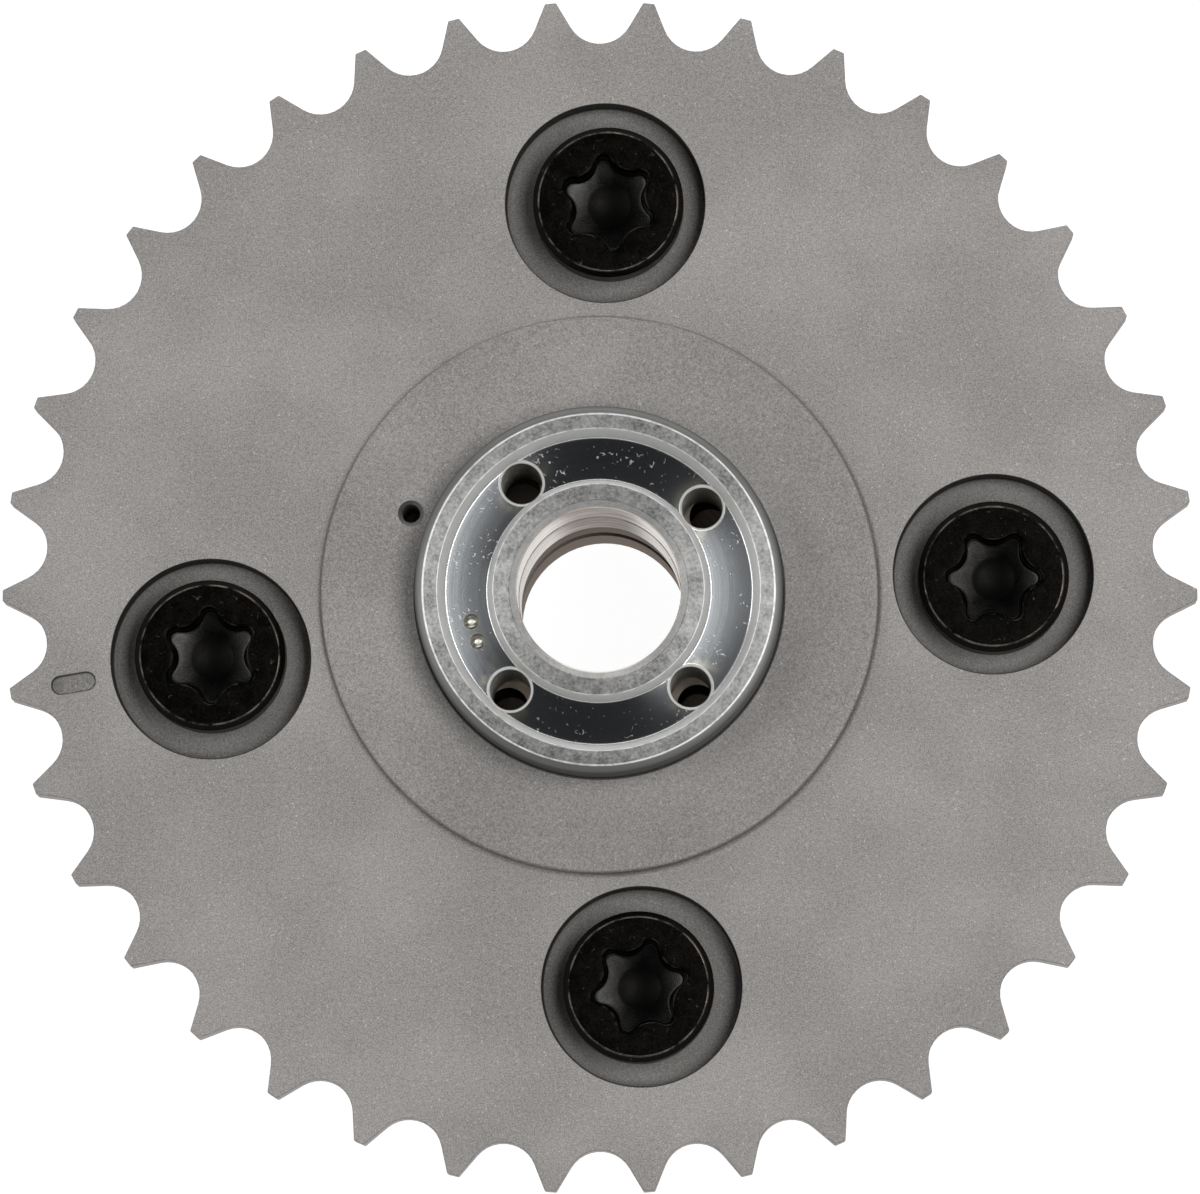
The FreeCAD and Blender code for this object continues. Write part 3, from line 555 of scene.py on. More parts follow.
# %% Edges along an outline
def carried(outline, profile):
    """A grid: the outline, moved outwards by each offset of the profile and put at its level.

    A point's outward direction is square to the mean of its two edges' directions.
    """
    edge = np.roll(outline, -1, 0) - outline
    edge /= np.linalg.norm(edge, axis=1, keepdims=True)
    along = edge + np.roll(edge, 1, 0)
    along /= np.linalg.norm(along, axis=1, keepdims=True)
    outwards = np.stack([along[:, 1], -along[:, 0]], -1)
    place = outline + outwards * profile[:, None, :1]
    level = np.broadcast_to(profile[:, None, 1:], (len(profile), len(outline), 1))
    return np.concatenate([place, level], -1)


def mark_outline():
    """The timing mark: a slot with round ends on a tooth's centre line."""
    half_l, half_w = MARK_L / 2, MARK_W / 2
    slot = rounded([(-half_l, -half_w), (half_l, -half_w), (half_l, half_w), (-half_l, half_w)],
                   half_w * 0.98, 12)
    angle = 2 * math.pi * MARK_TOOTH / TEETH
    spin = np.array([[math.cos(angle), math.sin(angle)], [-math.sin(angle), math.cos(angle)]])
    return (slot + [MARK_R, 0]) @ spin


print("points round the timing mark:", len(mark_outline()))

# %% [markdown]
# Now the wheel itself. Each edge is a few rows of points: it starts a little way in on one flat face,
# rounds the corner, runs down the wall and ends a little way in on the next flat face. What is left of
# the flat faces is filled between those first and last rows.

# %% Chain wheel
def through_hole(radius, chamfer, edge, centre=(0, 0), around=AROUND):
    """A chamfered hole from the disc's face to the plate's back."""
    return turned(rounded(
        [(radius + chamfer + EDGE_LAND, DISC_Z), (radius + chamfer, DISC_Z), (radius, DISC_Z - chamfer),
         (radius, PLATE_Z), (radius + EDGE_LAND, PLATE_Z)], [0, edge, edge, EDGE_R, 0]), centre, around)


def chain_wheel():
    """Edges carried along every outline, and flat faces between them."""
    teeth = carried(tooth_outline(), rounded(
        [(-EDGE_LAND, FACE_Z), (0, FACE_Z), (0, TOOTH_Z), (-EDGE_LAND, TOOTH_Z)],
        [0, EDGE_R, EDGE_R, 0], 5))
    back = turned(rounded(
        [(HOUSING_R + WIDE_LAND, TOOTH_Z), (HOUSING_R, TOOTH_Z), (HOUSING_R, PLATE_Z),
         (HOUSING_R - EDGE_LAND, PLATE_Z)], [0, POCKET_FOOT_R, EDGE_R, 0]), around=WIDE_AROUND)
    disc = turned(rounded(
        [(DISC_R + WIDE_LAND, FACE_Z), (DISC_R, FACE_Z), (DISC_R, DISC_Z), (DISC_R - WIDE_LAND, DISC_Z)],
        [0, DISC_FOOT, DISC_EDGE_R, 0]), around=WIDE_AROUND)
    bore = through_hole(BORE_R, BORE_CHAMFER, EDGE_R / 2)
    vent = through_hole(VENT_R, VENT_CHAMFER, EDGE_R, around_axis(VENT_PCR, VENT_AT), SMALL_AROUND)
    dowel = turned(rounded(
        [(DOWEL_HOLE_R + EDGE_LAND, PLATE_Z), (DOWEL_HOLE_R, PLATE_Z),
         (DOWEL_HOLE_R, DOWEL_HOLE_Z), (0, DOWEL_HOLE_Z)],
        [0, EDGE_R, EDGE_R, 0]), around_axis(DOWEL_PCR, DOWEL_AT), SMALL_AROUND)
    pockets = [turned(rounded(
        [(POCKET_R + EDGE_LAND, FACE_Z), (POCKET_R, FACE_Z), (POCKET_R, POCKET_Z),
         (SCREW_HOLE_R, POCKET_Z), (SCREW_HOLE_R, PLATE_Z), (SCREW_HOLE_R + EDGE_LAND, PLATE_Z)],
        [0, EDGE_R, POCKET_FOOT_R, EDGE_R, EDGE_R, 0]),
        around_axis(SCREW_PCR, degrees + POCKET_LEAD), POCKET_AROUND) for degrees in SCREW_AT]
    mark = carried(mark_outline(), rounded(
        [(EDGE_LAND, FACE_Z), (0, FACE_Z), (-MARK_SLOPE, FACE_Z - MARK_DEPTH),
         (-MARK_SLOPE - MARK_LAND, FACE_Z - MARK_DEPTH)],
        [0, EDGE_R, MARK_FOOT_R, 0]))
    faces = [
        flat_face(teeth[0], [disc[0], mark[0], *(pocket[0] for pocket in pockets)], FACE_Z),
        flat_face(teeth[-1], [back[0]], TOOTH_Z),
        flat_face(back[-1], [bore[-1], vent[-1], dowel[0], *(pocket[-1] for pocket in pockets)],
                  PLATE_Z),
        flat_face(disc[-1], [bore[0], vent[0]], DISC_Z),
        flat_face(mark[-1], [], FACE_Z - MARK_DEPTH),
    ]
    return piece("chain_wheel", [teeth, back, disc, bore, vent, dowel, mark, *pockets], faces)


wheel = chain_wheel()
smooth(wheel)

# %% [markdown]
# ## Sintered steel
#
# The chain wheel is pressed from steel powder, sintered and lightly blasted. Close up it is a warm
# grey salt-and-pepper grain of about 0.15 mm, with soft smudges from handling. The grain changes the
# colour and tilts the surface a little, which makes it sparkle, and sparse bright specks are painted
# glints. Shade is painted: dark in the pockets' corners, walls and rims, the timing mark and the vent,
# and a darker shaded colour over the pockets and the mark. Masks that read the place, such
# as how far the nearest screw is, say where the pockets and the timing mark are.

# %% Masks of the chain wheel
# How far the painted shade reaches into the pockets' corners.
SHADE_REACH = 0.7


def pocket_masks(finish):
    """The sunk screw pockets, their walls and rims, and the corner round each floor."""
    away = finish.distance([around_axis(SCREW_PCR, degrees + POCKET_LEAD) for degrees in SCREW_AT])
    sunk = away.rise(POCKET_R + 0.5, POCKET_R + 0.3) * finish.z.rise(FACE_Z - 0.05, FACE_Z - 0.3)
    return types.SimpleNamespace(
        sunk=sunk, wall=sunk * finish.z.rise(POCKET_Z + 0.3, POCKET_Z + 1.5),
        rim=away.near(POCKET_R + 0.02, 0.1),
        corner=away.rise(POCKET_R - SHADE_REACH, POCKET_R - 0.1) * sunk)


def mark_masks(finish):
    """The sunk timing mark, its sloping walls, and its half towards the rim, which gets more painted
    shade.
    """
    middle = around_axis(MARK_R, MARK_TOOTH / TEETH * 360)
    sunk = finish.distance([middle]).rise(MARK_L, MARK_L - 1)
    sunk = sunk * finish.z.rise(FACE_Z - 0.02, FACE_Z - 0.1) * finish.z.rise(TOOTH_Z + 1, TOOTH_Z + 2)
    return types.SimpleNamespace(
        sunk=sunk, slope=sunk * finish.z.rise(FACE_Z - MARK_DEPTH + 0.01, FACE_Z - MARK_DEPTH + 0.08),
        outer=sunk * finish.x.rise(middle[0] + 0.4, middle[0] - MARK_L / 2))


def disc_and_vent(finish):
    """The raised disc, and the vent's chamfer in it."""
    disc = finish.radius.rise(DISC_R + 0.1, DISC_R) * finish.z.rise(FACE_Z, DISC_Z)
    vent = finish.distance([around_axis(VENT_PCR, VENT_AT)]).rise(
        VENT_R + VENT_CHAMFER + 0.1, VENT_R + VENT_CHAMFER - 0.05)
    return disc, vent * disc


# Prints how far the painted shade reaches.
print(f"grime reaches {SHADE_REACH} mm into the pockets' corners")

# %% [markdown]
# The finish itself is a sum of patterns, each with its share, that goes from a dark colour to a light
# one. Painted shade gives the pockets and the timing mark a darker shaded colour, and lays dark over
# their corners, walls, rims and slopes and round the vent.

# %% Sintered steel
SINTERED_DARK, SINTERED_LIGHT = (0.155, 0.149, 0.143), (0.463, 0.443, 0.429)
SHADE_BLACK, SHADED_DARK, SHADED_LIGHT = (0.03, 0.029, 0.027), (0.045, 0.045, 0.042), (0.16, 0.162, 0.151)
GRAIN, SPOT_SPACE, SMUDGE = 0.14, 0.5, 14
MIDDLE_TONE, GRAIN_CONTRAST, GRAIN_HEIGHT = 0.48, 1.9, 0.013
SINTERED_METAL, SINTERED_ROUGH = 0.7, 0.6


def sintered_steel():
    """Grain, painted glints and pores, with painted shade in the pockets, the timing mark and the vent."""
    finish = Finish("sintered_steel")
    pocket, mark, (disc, vent) = pocket_masks(finish), mark_masks(finish), disc_and_vent(finish)
    grain = finish.noise(GRAIN, 2, 0.6)
    clump = finish.noise(3 * GRAIN, 2, 0.55)
    smudge = finish.noise(SMUDGE, 2, 0.55).rise(0.35, 0.7)
    spot, few = finish.cells(SPOT_SPACE), finish.noise(2 * SPOT_SPACE, 1)
    # Painted glints: sparse bright specks in the colour, a little smoother than the grain.
    painted_glint = spot.rise(0.22, 0.06) * few.rise(0.45, 0.6)
    pore = spot.rise(0.14, 0.03) * few.rise(0.44, 0.34)
    # Painted shade: dark over the pockets' corners, walls and rims, the mark's slopes and the vent.
    painted_shade = finish.largest(pocket.corner * 0.3, pocket.wall * 0.35, pocket.rim * 0.9, mark.slope * 0.35,
                           vent * 0.5)
    # Painted shade: the timing mark's floor is also a little darker in tone.
    tone = (MIDDLE_TONE + (grain - 0.5) * GRAIN_CONTRAST + (clump - 0.5) * 0.4 + (smudge - 0.5) * 0.16
            + painted_glint * 0.6 - pore * 0.45 - disc * 0.06 - mark.sunk * 0.1)
    colour = finish.blend(tone.clipped(), SINTERED_DARK, SINTERED_LIGHT)
    # Painted shade: a darker shaded colour in the pockets and the timing mark, most in its half towards
    # the rim.
    shaded = finish.blend((0.5 + (grain - 0.5) * 2.6).clipped(), SHADED_DARK, SHADED_LIGHT)
    colour = finish.blend(
        finish.largest(pocket.sunk * 0.5, mark.sunk * 0.2, mark.outer * 0.55), colour, shaded)
    rough = SINTERED_ROUGH + (grain - 0.5) * 0.3 - painted_glint * 0.15
    return finish.finished(finish.shader(base_color=finish.blend(painted_shade, colour, SHADE_BLACK),
                                         metallic=SINTERED_METAL, roughness=rough.clipped(),
                                         normal=finish.bump(grain, GRAIN_HEIGHT)))


SINTERED = sintered_steel()
dress(wheel, "stator", "sintered_steel", SINTERED, "sprocket_plate")

# %% [markdown]
# ## Hub
#
# The hub is turned from bright steel. Its end face carries two mottled lands with a polished oil
# groove between them, and four oil holes run down from the groove. It is one closed profile carried
# round the axis. The holes and the two punch dots are cut with a Boolean, because they break
# through the sloping walls of the groove, where a grid would be hard to fit by hand.

# %% Sizes of the hub
HUB_R, HUB_Z, HUB_SEAT_Z = 18.0, 50.0, 29.95
HUB_SPIGOT_R, HUB_SPIGOT_Z = 10.9, 26.35
HUB_CORNER_R = 0.8
LAND_R, GROOVE_OUTER_R, GROOVE_INNER_R, INNER_LAND_R = 15.75, 15.06, 10.9, 10.37
GROOVE_Z, GROOVE_DISH, DISH_R = 47.8, 0.12, 20.0
HUB_BORE_R, HUB_BORE_EDGE_R, HUB_STEP_Z, HUB_STEP = 8.04, 8.8, 38.5, 0.06
HUB_EDGE_R, GROOVE_FOOT_R, BACK_EDGE_R, STEP_EDGE_R = 0.07, 0.14, 0.2, 0.02
PORT_AT, PORT_PCR, PORT_R, PORT_EDGE = (38.9, 125.6, 228.1, 313.7), 12.98, 2.0, 0.2
PUNCH_AT, PUNCH_PCR, PUNCH_BALL_R, PUNCH_DEPTH = (193.5, 202.6), 12.83, 0.89, 0.5
PAST, PORT_AROUND, DOT_AROUND, DOT_ROWS = 1.0, 96, 64, 49
groove_depth = HUB_Z - GROOVE_Z + GROOVE_DISH
print(f"groove: {GROOVE_OUTER_R - GROOVE_INNER_R:.2f} mm wide, {groove_depth:.2f} mm deep")

# %% [markdown]
# The section is a list of corners with a radius for each. The dish in the groove's floor is such a
# corner too, nearly straight and with a large radius. The cutters reach past the metal on both sides,
# so that no face of theirs lies on a face of the hub.

# %% Profile and cutters of the hub
def hub_profile():
    """(radius, level) all the way round the hub's section, with every edge rounded."""
    narrow = HUB_BORE_R - HUB_STEP
    corners = [
        (narrow, HUB_SPIGOT_Z, BACK_EDGE_R / 2), (HUB_SPIGOT_R, HUB_SPIGOT_Z, BACK_EDGE_R),
        (HUB_SPIGOT_R, HUB_SEAT_Z, BACK_EDGE_R), (HUB_R, HUB_SEAT_Z, BACK_EDGE_R),
        (HUB_R, HUB_Z, HUB_CORNER_R),
        (LAND_R, HUB_Z, HUB_EDGE_R), (GROOVE_OUTER_R, GROOVE_Z, GROOVE_FOOT_R),
        ((GROOVE_OUTER_R + GROOVE_INNER_R) / 2, GROOVE_Z - GROOVE_DISH, DISH_R),
        (GROOVE_INNER_R, GROOVE_Z, GROOVE_FOOT_R), (INNER_LAND_R, HUB_Z, HUB_EDGE_R),
        (HUB_BORE_EDGE_R, HUB_Z, HUB_EDGE_R),
        (HUB_BORE_R, HUB_Z - HUB_BORE_EDGE_R + HUB_BORE_R, HUB_EDGE_R),
        (HUB_BORE_R, HUB_STEP_Z, STEP_EDGE_R), (narrow, HUB_STEP_Z - HUB_STEP, STEP_EDGE_R),
    ]
    corners = np.array(corners)
    return rounded(corners[:, :2], corners[:, 2], 8)


def hub_cutters():
    """The four oil holes with their small countersinks, and two ball-shaped punch dots."""
    floor = GROOVE_Z - GROOVE_DISH / 2
    hole = [(0, HUB_SEAT_Z - PAST), (PORT_R, HUB_SEAT_Z - PAST), (PORT_R, floor - 2 * PORT_EDGE),
            (PORT_R + PORT_EDGE, floor - PORT_EDGE), (PORT_R + PORT_EDGE, HUB_Z + PAST),
            (0, HUB_Z + PAST)]
    grids = [turned(hole, around_axis(PORT_PCR, degrees), PORT_AROUND) for degrees in PORT_AT]
    slope = np.linspace(-np.pi / 2, np.pi / 2, DOT_ROWS)
    ball = np.stack([np.abs(np.cos(slope)), np.sin(slope)], -1) * PUNCH_BALL_R
    ball[:, 1] += floor - PUNCH_DEPTH + PUNCH_BALL_R
    grids += [turned(ball, around_axis(PUNCH_PCR, degrees), DOT_AROUND) for degrees in PUNCH_AT]
    return piece("hub_cutters", grids)


print("points in the hub's section:", len(hub_profile()))

# %% [markdown]
# The Boolean modifier is evaluated once, and its result becomes the hub's own mesh. A live modifier
# would have to be worked out again for every pose and every export.

# %% Cutting the hub
def carved(thing, cutter):
    """The thing without the cutter's space. The cutter is deleted."""
    modifier = thing.modifiers.new("carve", "BOOLEAN")
    modifier.operation, modifier.solver, modifier.object = "DIFFERENCE", "EXACT", cutter
    evaluated = thing.evaluated_get(bpy.context.evaluated_depsgraph_get())
    carved_mesh = bpy.data.meshes.new_from_object(evaluated)
    thing.modifiers.clear()
    thing.data = carved_mesh
    bpy.data.objects.remove(cutter)
    print(f"{thing.name}: {len(carved_mesh.polygons)} faces once carved")
    return thing


blank = piece("hub", [turned(hub_profile(), around=WIDE_AROUND)], closed_along=True)
hub = carved(blank, hub_cutters())
smooth(hub)

# %% [markdown]
# The hub shows five finishes on one piece of steel: blotchy lands, a polished groove floor, brighter
# slopes, a stained bore and a satin outside. Separate pieces would leave seams. Masks that read radius
# and level switch between the colours instead, and each border is a soft step a tenth of a millimetre
# wide.

# %% Colours of the hub
SATIN_TOP, SATIN_SIDE = (0.18, 0.18, 0.177), (0.1, 0.1, 0.097)
LAND_DARK, LAND_LIGHT = (0.12, 0.12, 0.117), (0.44, 0.437, 0.428)
GROOVE_DARK, GROOVE_LIGHT = (0.07, 0.074, 0.078), (0.16, 0.167, 0.173)
BORE_DARK, BORE_LIGHT = (0.36, 0.245, 0.175), (1.0, 0.95, 0.89)
DEEP_DARK, DEEP_LIGHT = (0.12, 0.085, 0.065), (0.96, 0.89, 0.82)
EDGE_HIGHLIGHT, DUST = (0.85, 0.85, 0.84), (0.75, 0.75, 0.73)
WALL_METAL, PORT_METAL, OIL_FILM = (0.75, 0.75, 0.74), (0.8, 0.77, 0.7), (0.5, 0.48, 0.36)
DOT_METAL, DOT_HIGHLIGHT = (0.26, 0.255, 0.225), (0.85, 0.84, 0.75)
EDGE_REACH, FOOT_REACH, LINE_SPACE, TURN_SPACE = 0.12, 0.15, 0.11, 0.8
SATIN_ROUGH, FLOOR_SHINE, BORE_SHINE = 0.52, 0.3, 0.17
SATIN_STREAK, FLOOR_STREAK, STREAK_TURN = 0.75, 0.95, 0.25
print(f"hub: fine lines about {LINE_SPACE} mm apart, rings in the bore about {TURN_SPACE} mm")

# %% [markdown]
# Zones are masks for whole surfaces, and marks are masks for small things on them. Both are kept
# together under plain names, so the finish below reads as a list of what lies where. The bore's two
# flanks, left and right, show the white room most, so they are a zone of their own, and that
# reflection is painted into their colour as a lighter tone.

# %% Zones of the hub
def hub_zones(finish):
    """Where each surface is: 1 on it and 0 elsewhere, from radius and level."""
    radius, level = finish.radius, finish.z
    top = level.rise(HUB_Z - 0.12, HUB_Z - 0.04)
    within = radius.rise(HUB_BORE_EDGE_R + 0.06, HUB_BORE_EDGE_R - 0.06)
    outside = radius.rise(HUB_R - HUB_CORNER_R, HUB_R - HUB_CORNER_R + 0.2)
    bore = radius.rise(HUB_BORE_R + 0.14, HUB_BORE_R + 0.06)
    floor = level.rise(GROOVE_Z + 0.3, GROOVE_Z + 0.1) * (1 - within) * (1 - outside)
    return types.SimpleNamespace(
        top=top, within=within, outside=outside, bore=bore, floor=floor,
        wall=(1 - top) * (1 - floor), deep=level.rise(HUB_STEP_Z + 0.05, HUB_STEP_Z - 0.1),
        reflecting_flank=bore * finish.maths("ABSOLUTE", finish.x).rise(2, 5.5))


# %% [markdown]
# Edges are partly worn bright and partly given painted highlights, unevenly, as a soft noise thins
# them, and the feet of the groove's slopes and the oil holes' rims get painted highlights. Dust keeps
# to a few patches of the oily groove, and a thin film of oil tints the metal beside the holes.

# %% Marks of the hub
def hub_edges(finish, zone):
    """Painted highlights on the edges, thinned in places like wear, and along the feet of the groove's two
    slopes.
    """
    worn = finish.noise(0.9, 3, 0.6).rise(0.3, 0.62)
    edge = finish.largest(*(finish.radius.near(r, EDGE_REACH)
                            for r in (HUB_R - HUB_CORNER_R, LAND_R, INNER_LAND_R)))
    foot = finish.largest(*(finish.radius.near(r, FOOT_REACH)
                            for r in (GROOVE_OUTER_R, GROOVE_INNER_R)))
    return edge * zone.top * (0.4 + worn * 0.6), foot * finish.z.near(GROOVE_Z, 0.5)


def hub_dust(finish, zone):
    """Fluff and short hairs in a few patches of the groove, and fine specks all over it."""
    patch = finish.noise(2.6, 2).rise(0.48, 0.6)
    fluff = finish.noise(0.13, 3, 0.7).rise(0.68, 0.75)
    hair = finish.scratches(0.9, 0.022, 0.57)
    speck = finish.cells(0.7).rise(0.085, 0.03)
    return finish.largest(finish.largest(fluff, hair) * patch * 0.75, speck * 0.6) * zone.floor


def hub_marks(finish, zone):
    """Small things: painted highlights on edges, groove feet and the oil holes' rims, the holes' walls and
    oil, the punch dots with a painted highlight, and dust.
    """
    edge, foot = hub_edges(finish, zone)
    ports = finish.distance([around_axis(PORT_PCR, degrees) for degrees in PORT_AT])
    dots = finish.distance([around_axis(PUNCH_PCR, degrees) for degrees in PUNCH_AT])
    return types.SimpleNamespace(
        edge=edge, foot=foot, dust=hub_dust(finish, zone),
        rim=ports.near(PORT_R + PORT_EDGE * 0.7, 0.2) * finish.z.near(GROOVE_Z, 1.2),
        inside=ports.rise(PORT_R + 0.05, PORT_R) * finish.z.rise(GROOVE_Z - 0.3, GROOVE_Z - 0.8),
        film=ports.rise(PORT_R + 1.6, PORT_R) * finish.noise(2.2, 2).rise(0.5, 0.62) * (1 - zone.top),
        dot=dots.rise(PUNCH_BALL_R, PUNCH_BALL_R * 0.8) * zone.floor,
        painted_glint=dots.rise(PUNCH_BALL_R * 0.5, PUNCH_BALL_R * 0.2) * zone.floor)


# %% [markdown]
# Turned steel reflects in streaks across its fine lines, which is what the Principled shader's
# Anisotropic socket does. That socket must stay one number here, so the polished floor is a second
# shader, mixed in by the floor's mask.

# %% Hub metal
HUB_BUMP = 0.004


def hub_metal():
    """One finish for the whole hub: a list of masks and colours, each laid over the ones before."""
    finish = Finish("hub_metal")
    zone = hub_zones(finish)
    mark = hub_marks(finish, zone)
    # Painted highlights: edges, groove feet and hole rims lighter and less metallic; on the edges partly
    # wear.
    wear_and_highlight = finish.largest(mark.edge, mark.foot, mark.rim)
    lines = finish.noise(1, 2, 0.6, finish.vector(
        finish.radius / LINE_SPACE, finish.z / LINE_SPACE, finish.x * 0.02))
    mottle, cloud = finish.noise(0.3, 4, 0.62), finish.noise(1.3, 3, 0.55)
    tone = (0.5 + (mottle - 0.5) * 2.0 + (cloud - 0.5) * 1.3 + (lines - 0.5) * 0.4).clipped()
    turns = finish.noise(1, 3, 0.7, finish.vector(
        finish.x * 0.12, finish.y * 0.12, finish.z / TURN_SPACE))
    turns = (turns.rise(0.36, 0.62) * 0.75 + lines * 0.5 - 0.04).clipped()
    round_corner = finish.z.rise(HUB_Z - 0.1, HUB_Z - HUB_CORNER_R)

    colour = finish.blend(tone, LAND_DARK, LAND_LIGHT)
    for share, paint in (
            (zone.wall * (1 - zone.within * 0.6), WALL_METAL),
            (zone.floor, finish.blend(lines, GROOVE_DARK, GROOVE_LIGHT)),
            (zone.bore, finish.blend(turns, BORE_DARK, BORE_LIGHT)),
            (zone.bore * zone.deep, finish.blend(turns, DEEP_DARK, DEEP_LIGHT)),
            # Painted reflection: the bore's left and right flanks are made lighter.
            (zone.reflecting_flank * 0.5, BORE_LIGHT),
            (zone.outside, finish.blend(round_corner, SATIN_TOP, SATIN_SIDE)),
            (mark.inside, PORT_METAL),
            (mark.dot, DOT_METAL),
            # Painted highlight: a light spot in the middle of each punch dot.
            (mark.painted_glint, DOT_HIGHLIGHT),
            (mark.film * 0.35, OIL_FILM),
            (wear_and_highlight, EDGE_HIGHLIGHT),
            (mark.dust, DUST)):
        colour = finish.blend(share, colour, paint)
    rough = (SATIN_ROUGH - zone.floor * FLOOR_SHINE + zone.bore * (zone.deep * 0.05 - BORE_SHINE)
             - zone.reflecting_flank * BORE_SHINE - wear_and_highlight * 0.1 + mark.dust * 0.3
             + (mottle - 0.5) * zone.top * 0.3)
    metal = (1 - finish.largest(mark.edge, mark.rim, mark.foot * 0.3) * 0.75 - mark.dust * 0.9
             - zone.wall * 0.15 - mark.painted_glint * 0.8)
    height = lines * (1 - zone.top * 0.6) + zone.top * mottle
    look = dict(base_color=colour, metallic=metal.clipped(), roughness=rough.clipped(),
                anisotropic_rotation=STREAK_TURN, normal=finish.bump(height, HUB_BUMP))
    satin = finish.shader(anisotropic=SATIN_STREAK, **look)
    polished = finish.shader(anisotropic=FLOOR_STREAK, **look)
    return finish.finished(
        finish.node("ShaderNodeMixShader", {}, {0: zone.floor, 1: satin, 2: polished}))


dress(hub, "rotor", "hub_metal", hub_metal(), "hub_journal")

# %% [markdown]
# ## Screws
#
# Four low-head screws, black from an oxide bath, hold the wheel, housing and cover together. One grid
# makes a whole screw: it starts at the middle of the shank's end, goes up the thread and over the
# head, and down into the recess. On the way its circle turns into the recess's six-lobe outline, so
# each row of the grid has a plain radius, a share of that outline, and a depth of thread. Tightening
# left the four recesses at different angles, which are the screws' turns below.

# %% Sizes of the screws
SCREW_TURNS = (0.0, 37.0, 31.0, 13.0)
SHANK_R, SHANK_END_Z, SHANK_CHAMFER = 4.0, 0.8, 0.8
THREAD_PITCH, THREAD_DEPTH, THREAD_END_Z, THREAD_FADE = 1.25, 0.6, 14.0, 0.8
HEAD_R, HEAD_Z, HEAD_CHAMFER = 7.4, 43.7, 0.55
RECESS_TIP_R, RECESS_WAIST_R, RECESS_LOBE_R, RECESS_DEPTH = 4.8, 3.6, 0.8, 3.1
RECESS_DRAFT, RECESS_MOUTH_R, RECESS_FOOT_R = 0.3, 0.3, 0.15
RECESS_SLOPE, DIMPLE_R, DIMPLE_DEPTH, DIMPLE_BALL_R = math.radians(17), 2.1, 0.2, 6.0
UNDER_HEAD_R, HEAD_FOOT_R, HEAD_EDGE_R, DIMPLE_RIM = 0.3, 0.15, 0.12, 0.08
RECESS_WALL, RECESS_FLOOR_LAND = 1.0, 0.4
SCREW_AROUND, THREAD_ROWS = 192, 12
print(f"screws: M{2 * SHANK_R:.0f}, heads {2 * HEAD_R:.1f} mm wide")

# %% [markdown]
# The recess's outline could be drawn with arcs and trimmed. Here it is a formula instead, the radius
# at each angle, because then the whole screw can be one grid in angle and row.

# %% Outline of the recess
def six_lobes(angle):
    """Radius of the recess's outline: round lobes every 60 degrees, tangent to round waists.

    On a circle of radius r whose centre is c away, the near or far radius at angle a from it is
    c cos a -+ sqrt(r^2 - (c sin a)^2).
    """
    lobe_c = RECESS_TIP_R - RECESS_LOBE_R
    gap = RECESS_WAIST_R - RECESS_LOBE_R
    waist_c = (lobe_c ** 2 - gap ** 2) / (2 * (math.cos(math.pi / 6) * lobe_c - gap))
    waist_r = waist_c - RECESS_WAIST_R
    share = RECESS_LOBE_R / (RECESS_LOBE_R + waist_r)
    touch_x = lobe_c + (waist_c * math.cos(math.pi / 6) - lobe_c) * share
    touch_y = waist_c * math.sin(math.pi / 6) * share
    touch = math.atan2(touch_y, touch_x)
    off_lobe = np.abs((angle + np.pi / 6) % (np.pi / 3) - np.pi / 6)
    off_waist = np.pi / 6 - off_lobe
    lobe = lobe_c * np.cos(off_lobe) + np.sqrt(
        np.maximum(RECESS_LOBE_R ** 2 - (lobe_c * np.sin(off_lobe)) ** 2, 0))
    waist = waist_c * np.cos(off_waist) - np.sqrt(
        np.maximum(waist_r ** 2 - (waist_c * np.sin(off_waist)) ** 2, 0))
    return np.where(off_lobe < touch, lobe, waist)


deepest = six_lobes(np.array([0, np.pi / 6]))
print(f"recess: {2 * deepest[0]:.1f} mm over its lobes, {2 * deepest[1]:.1f} mm over its waists")

# %% [markdown]
# The rows run from the middle of the shank's end to the middle of the recess. Each part of the way is
# a short profile, and says whether its radius is plain or lies on the recess's outline.

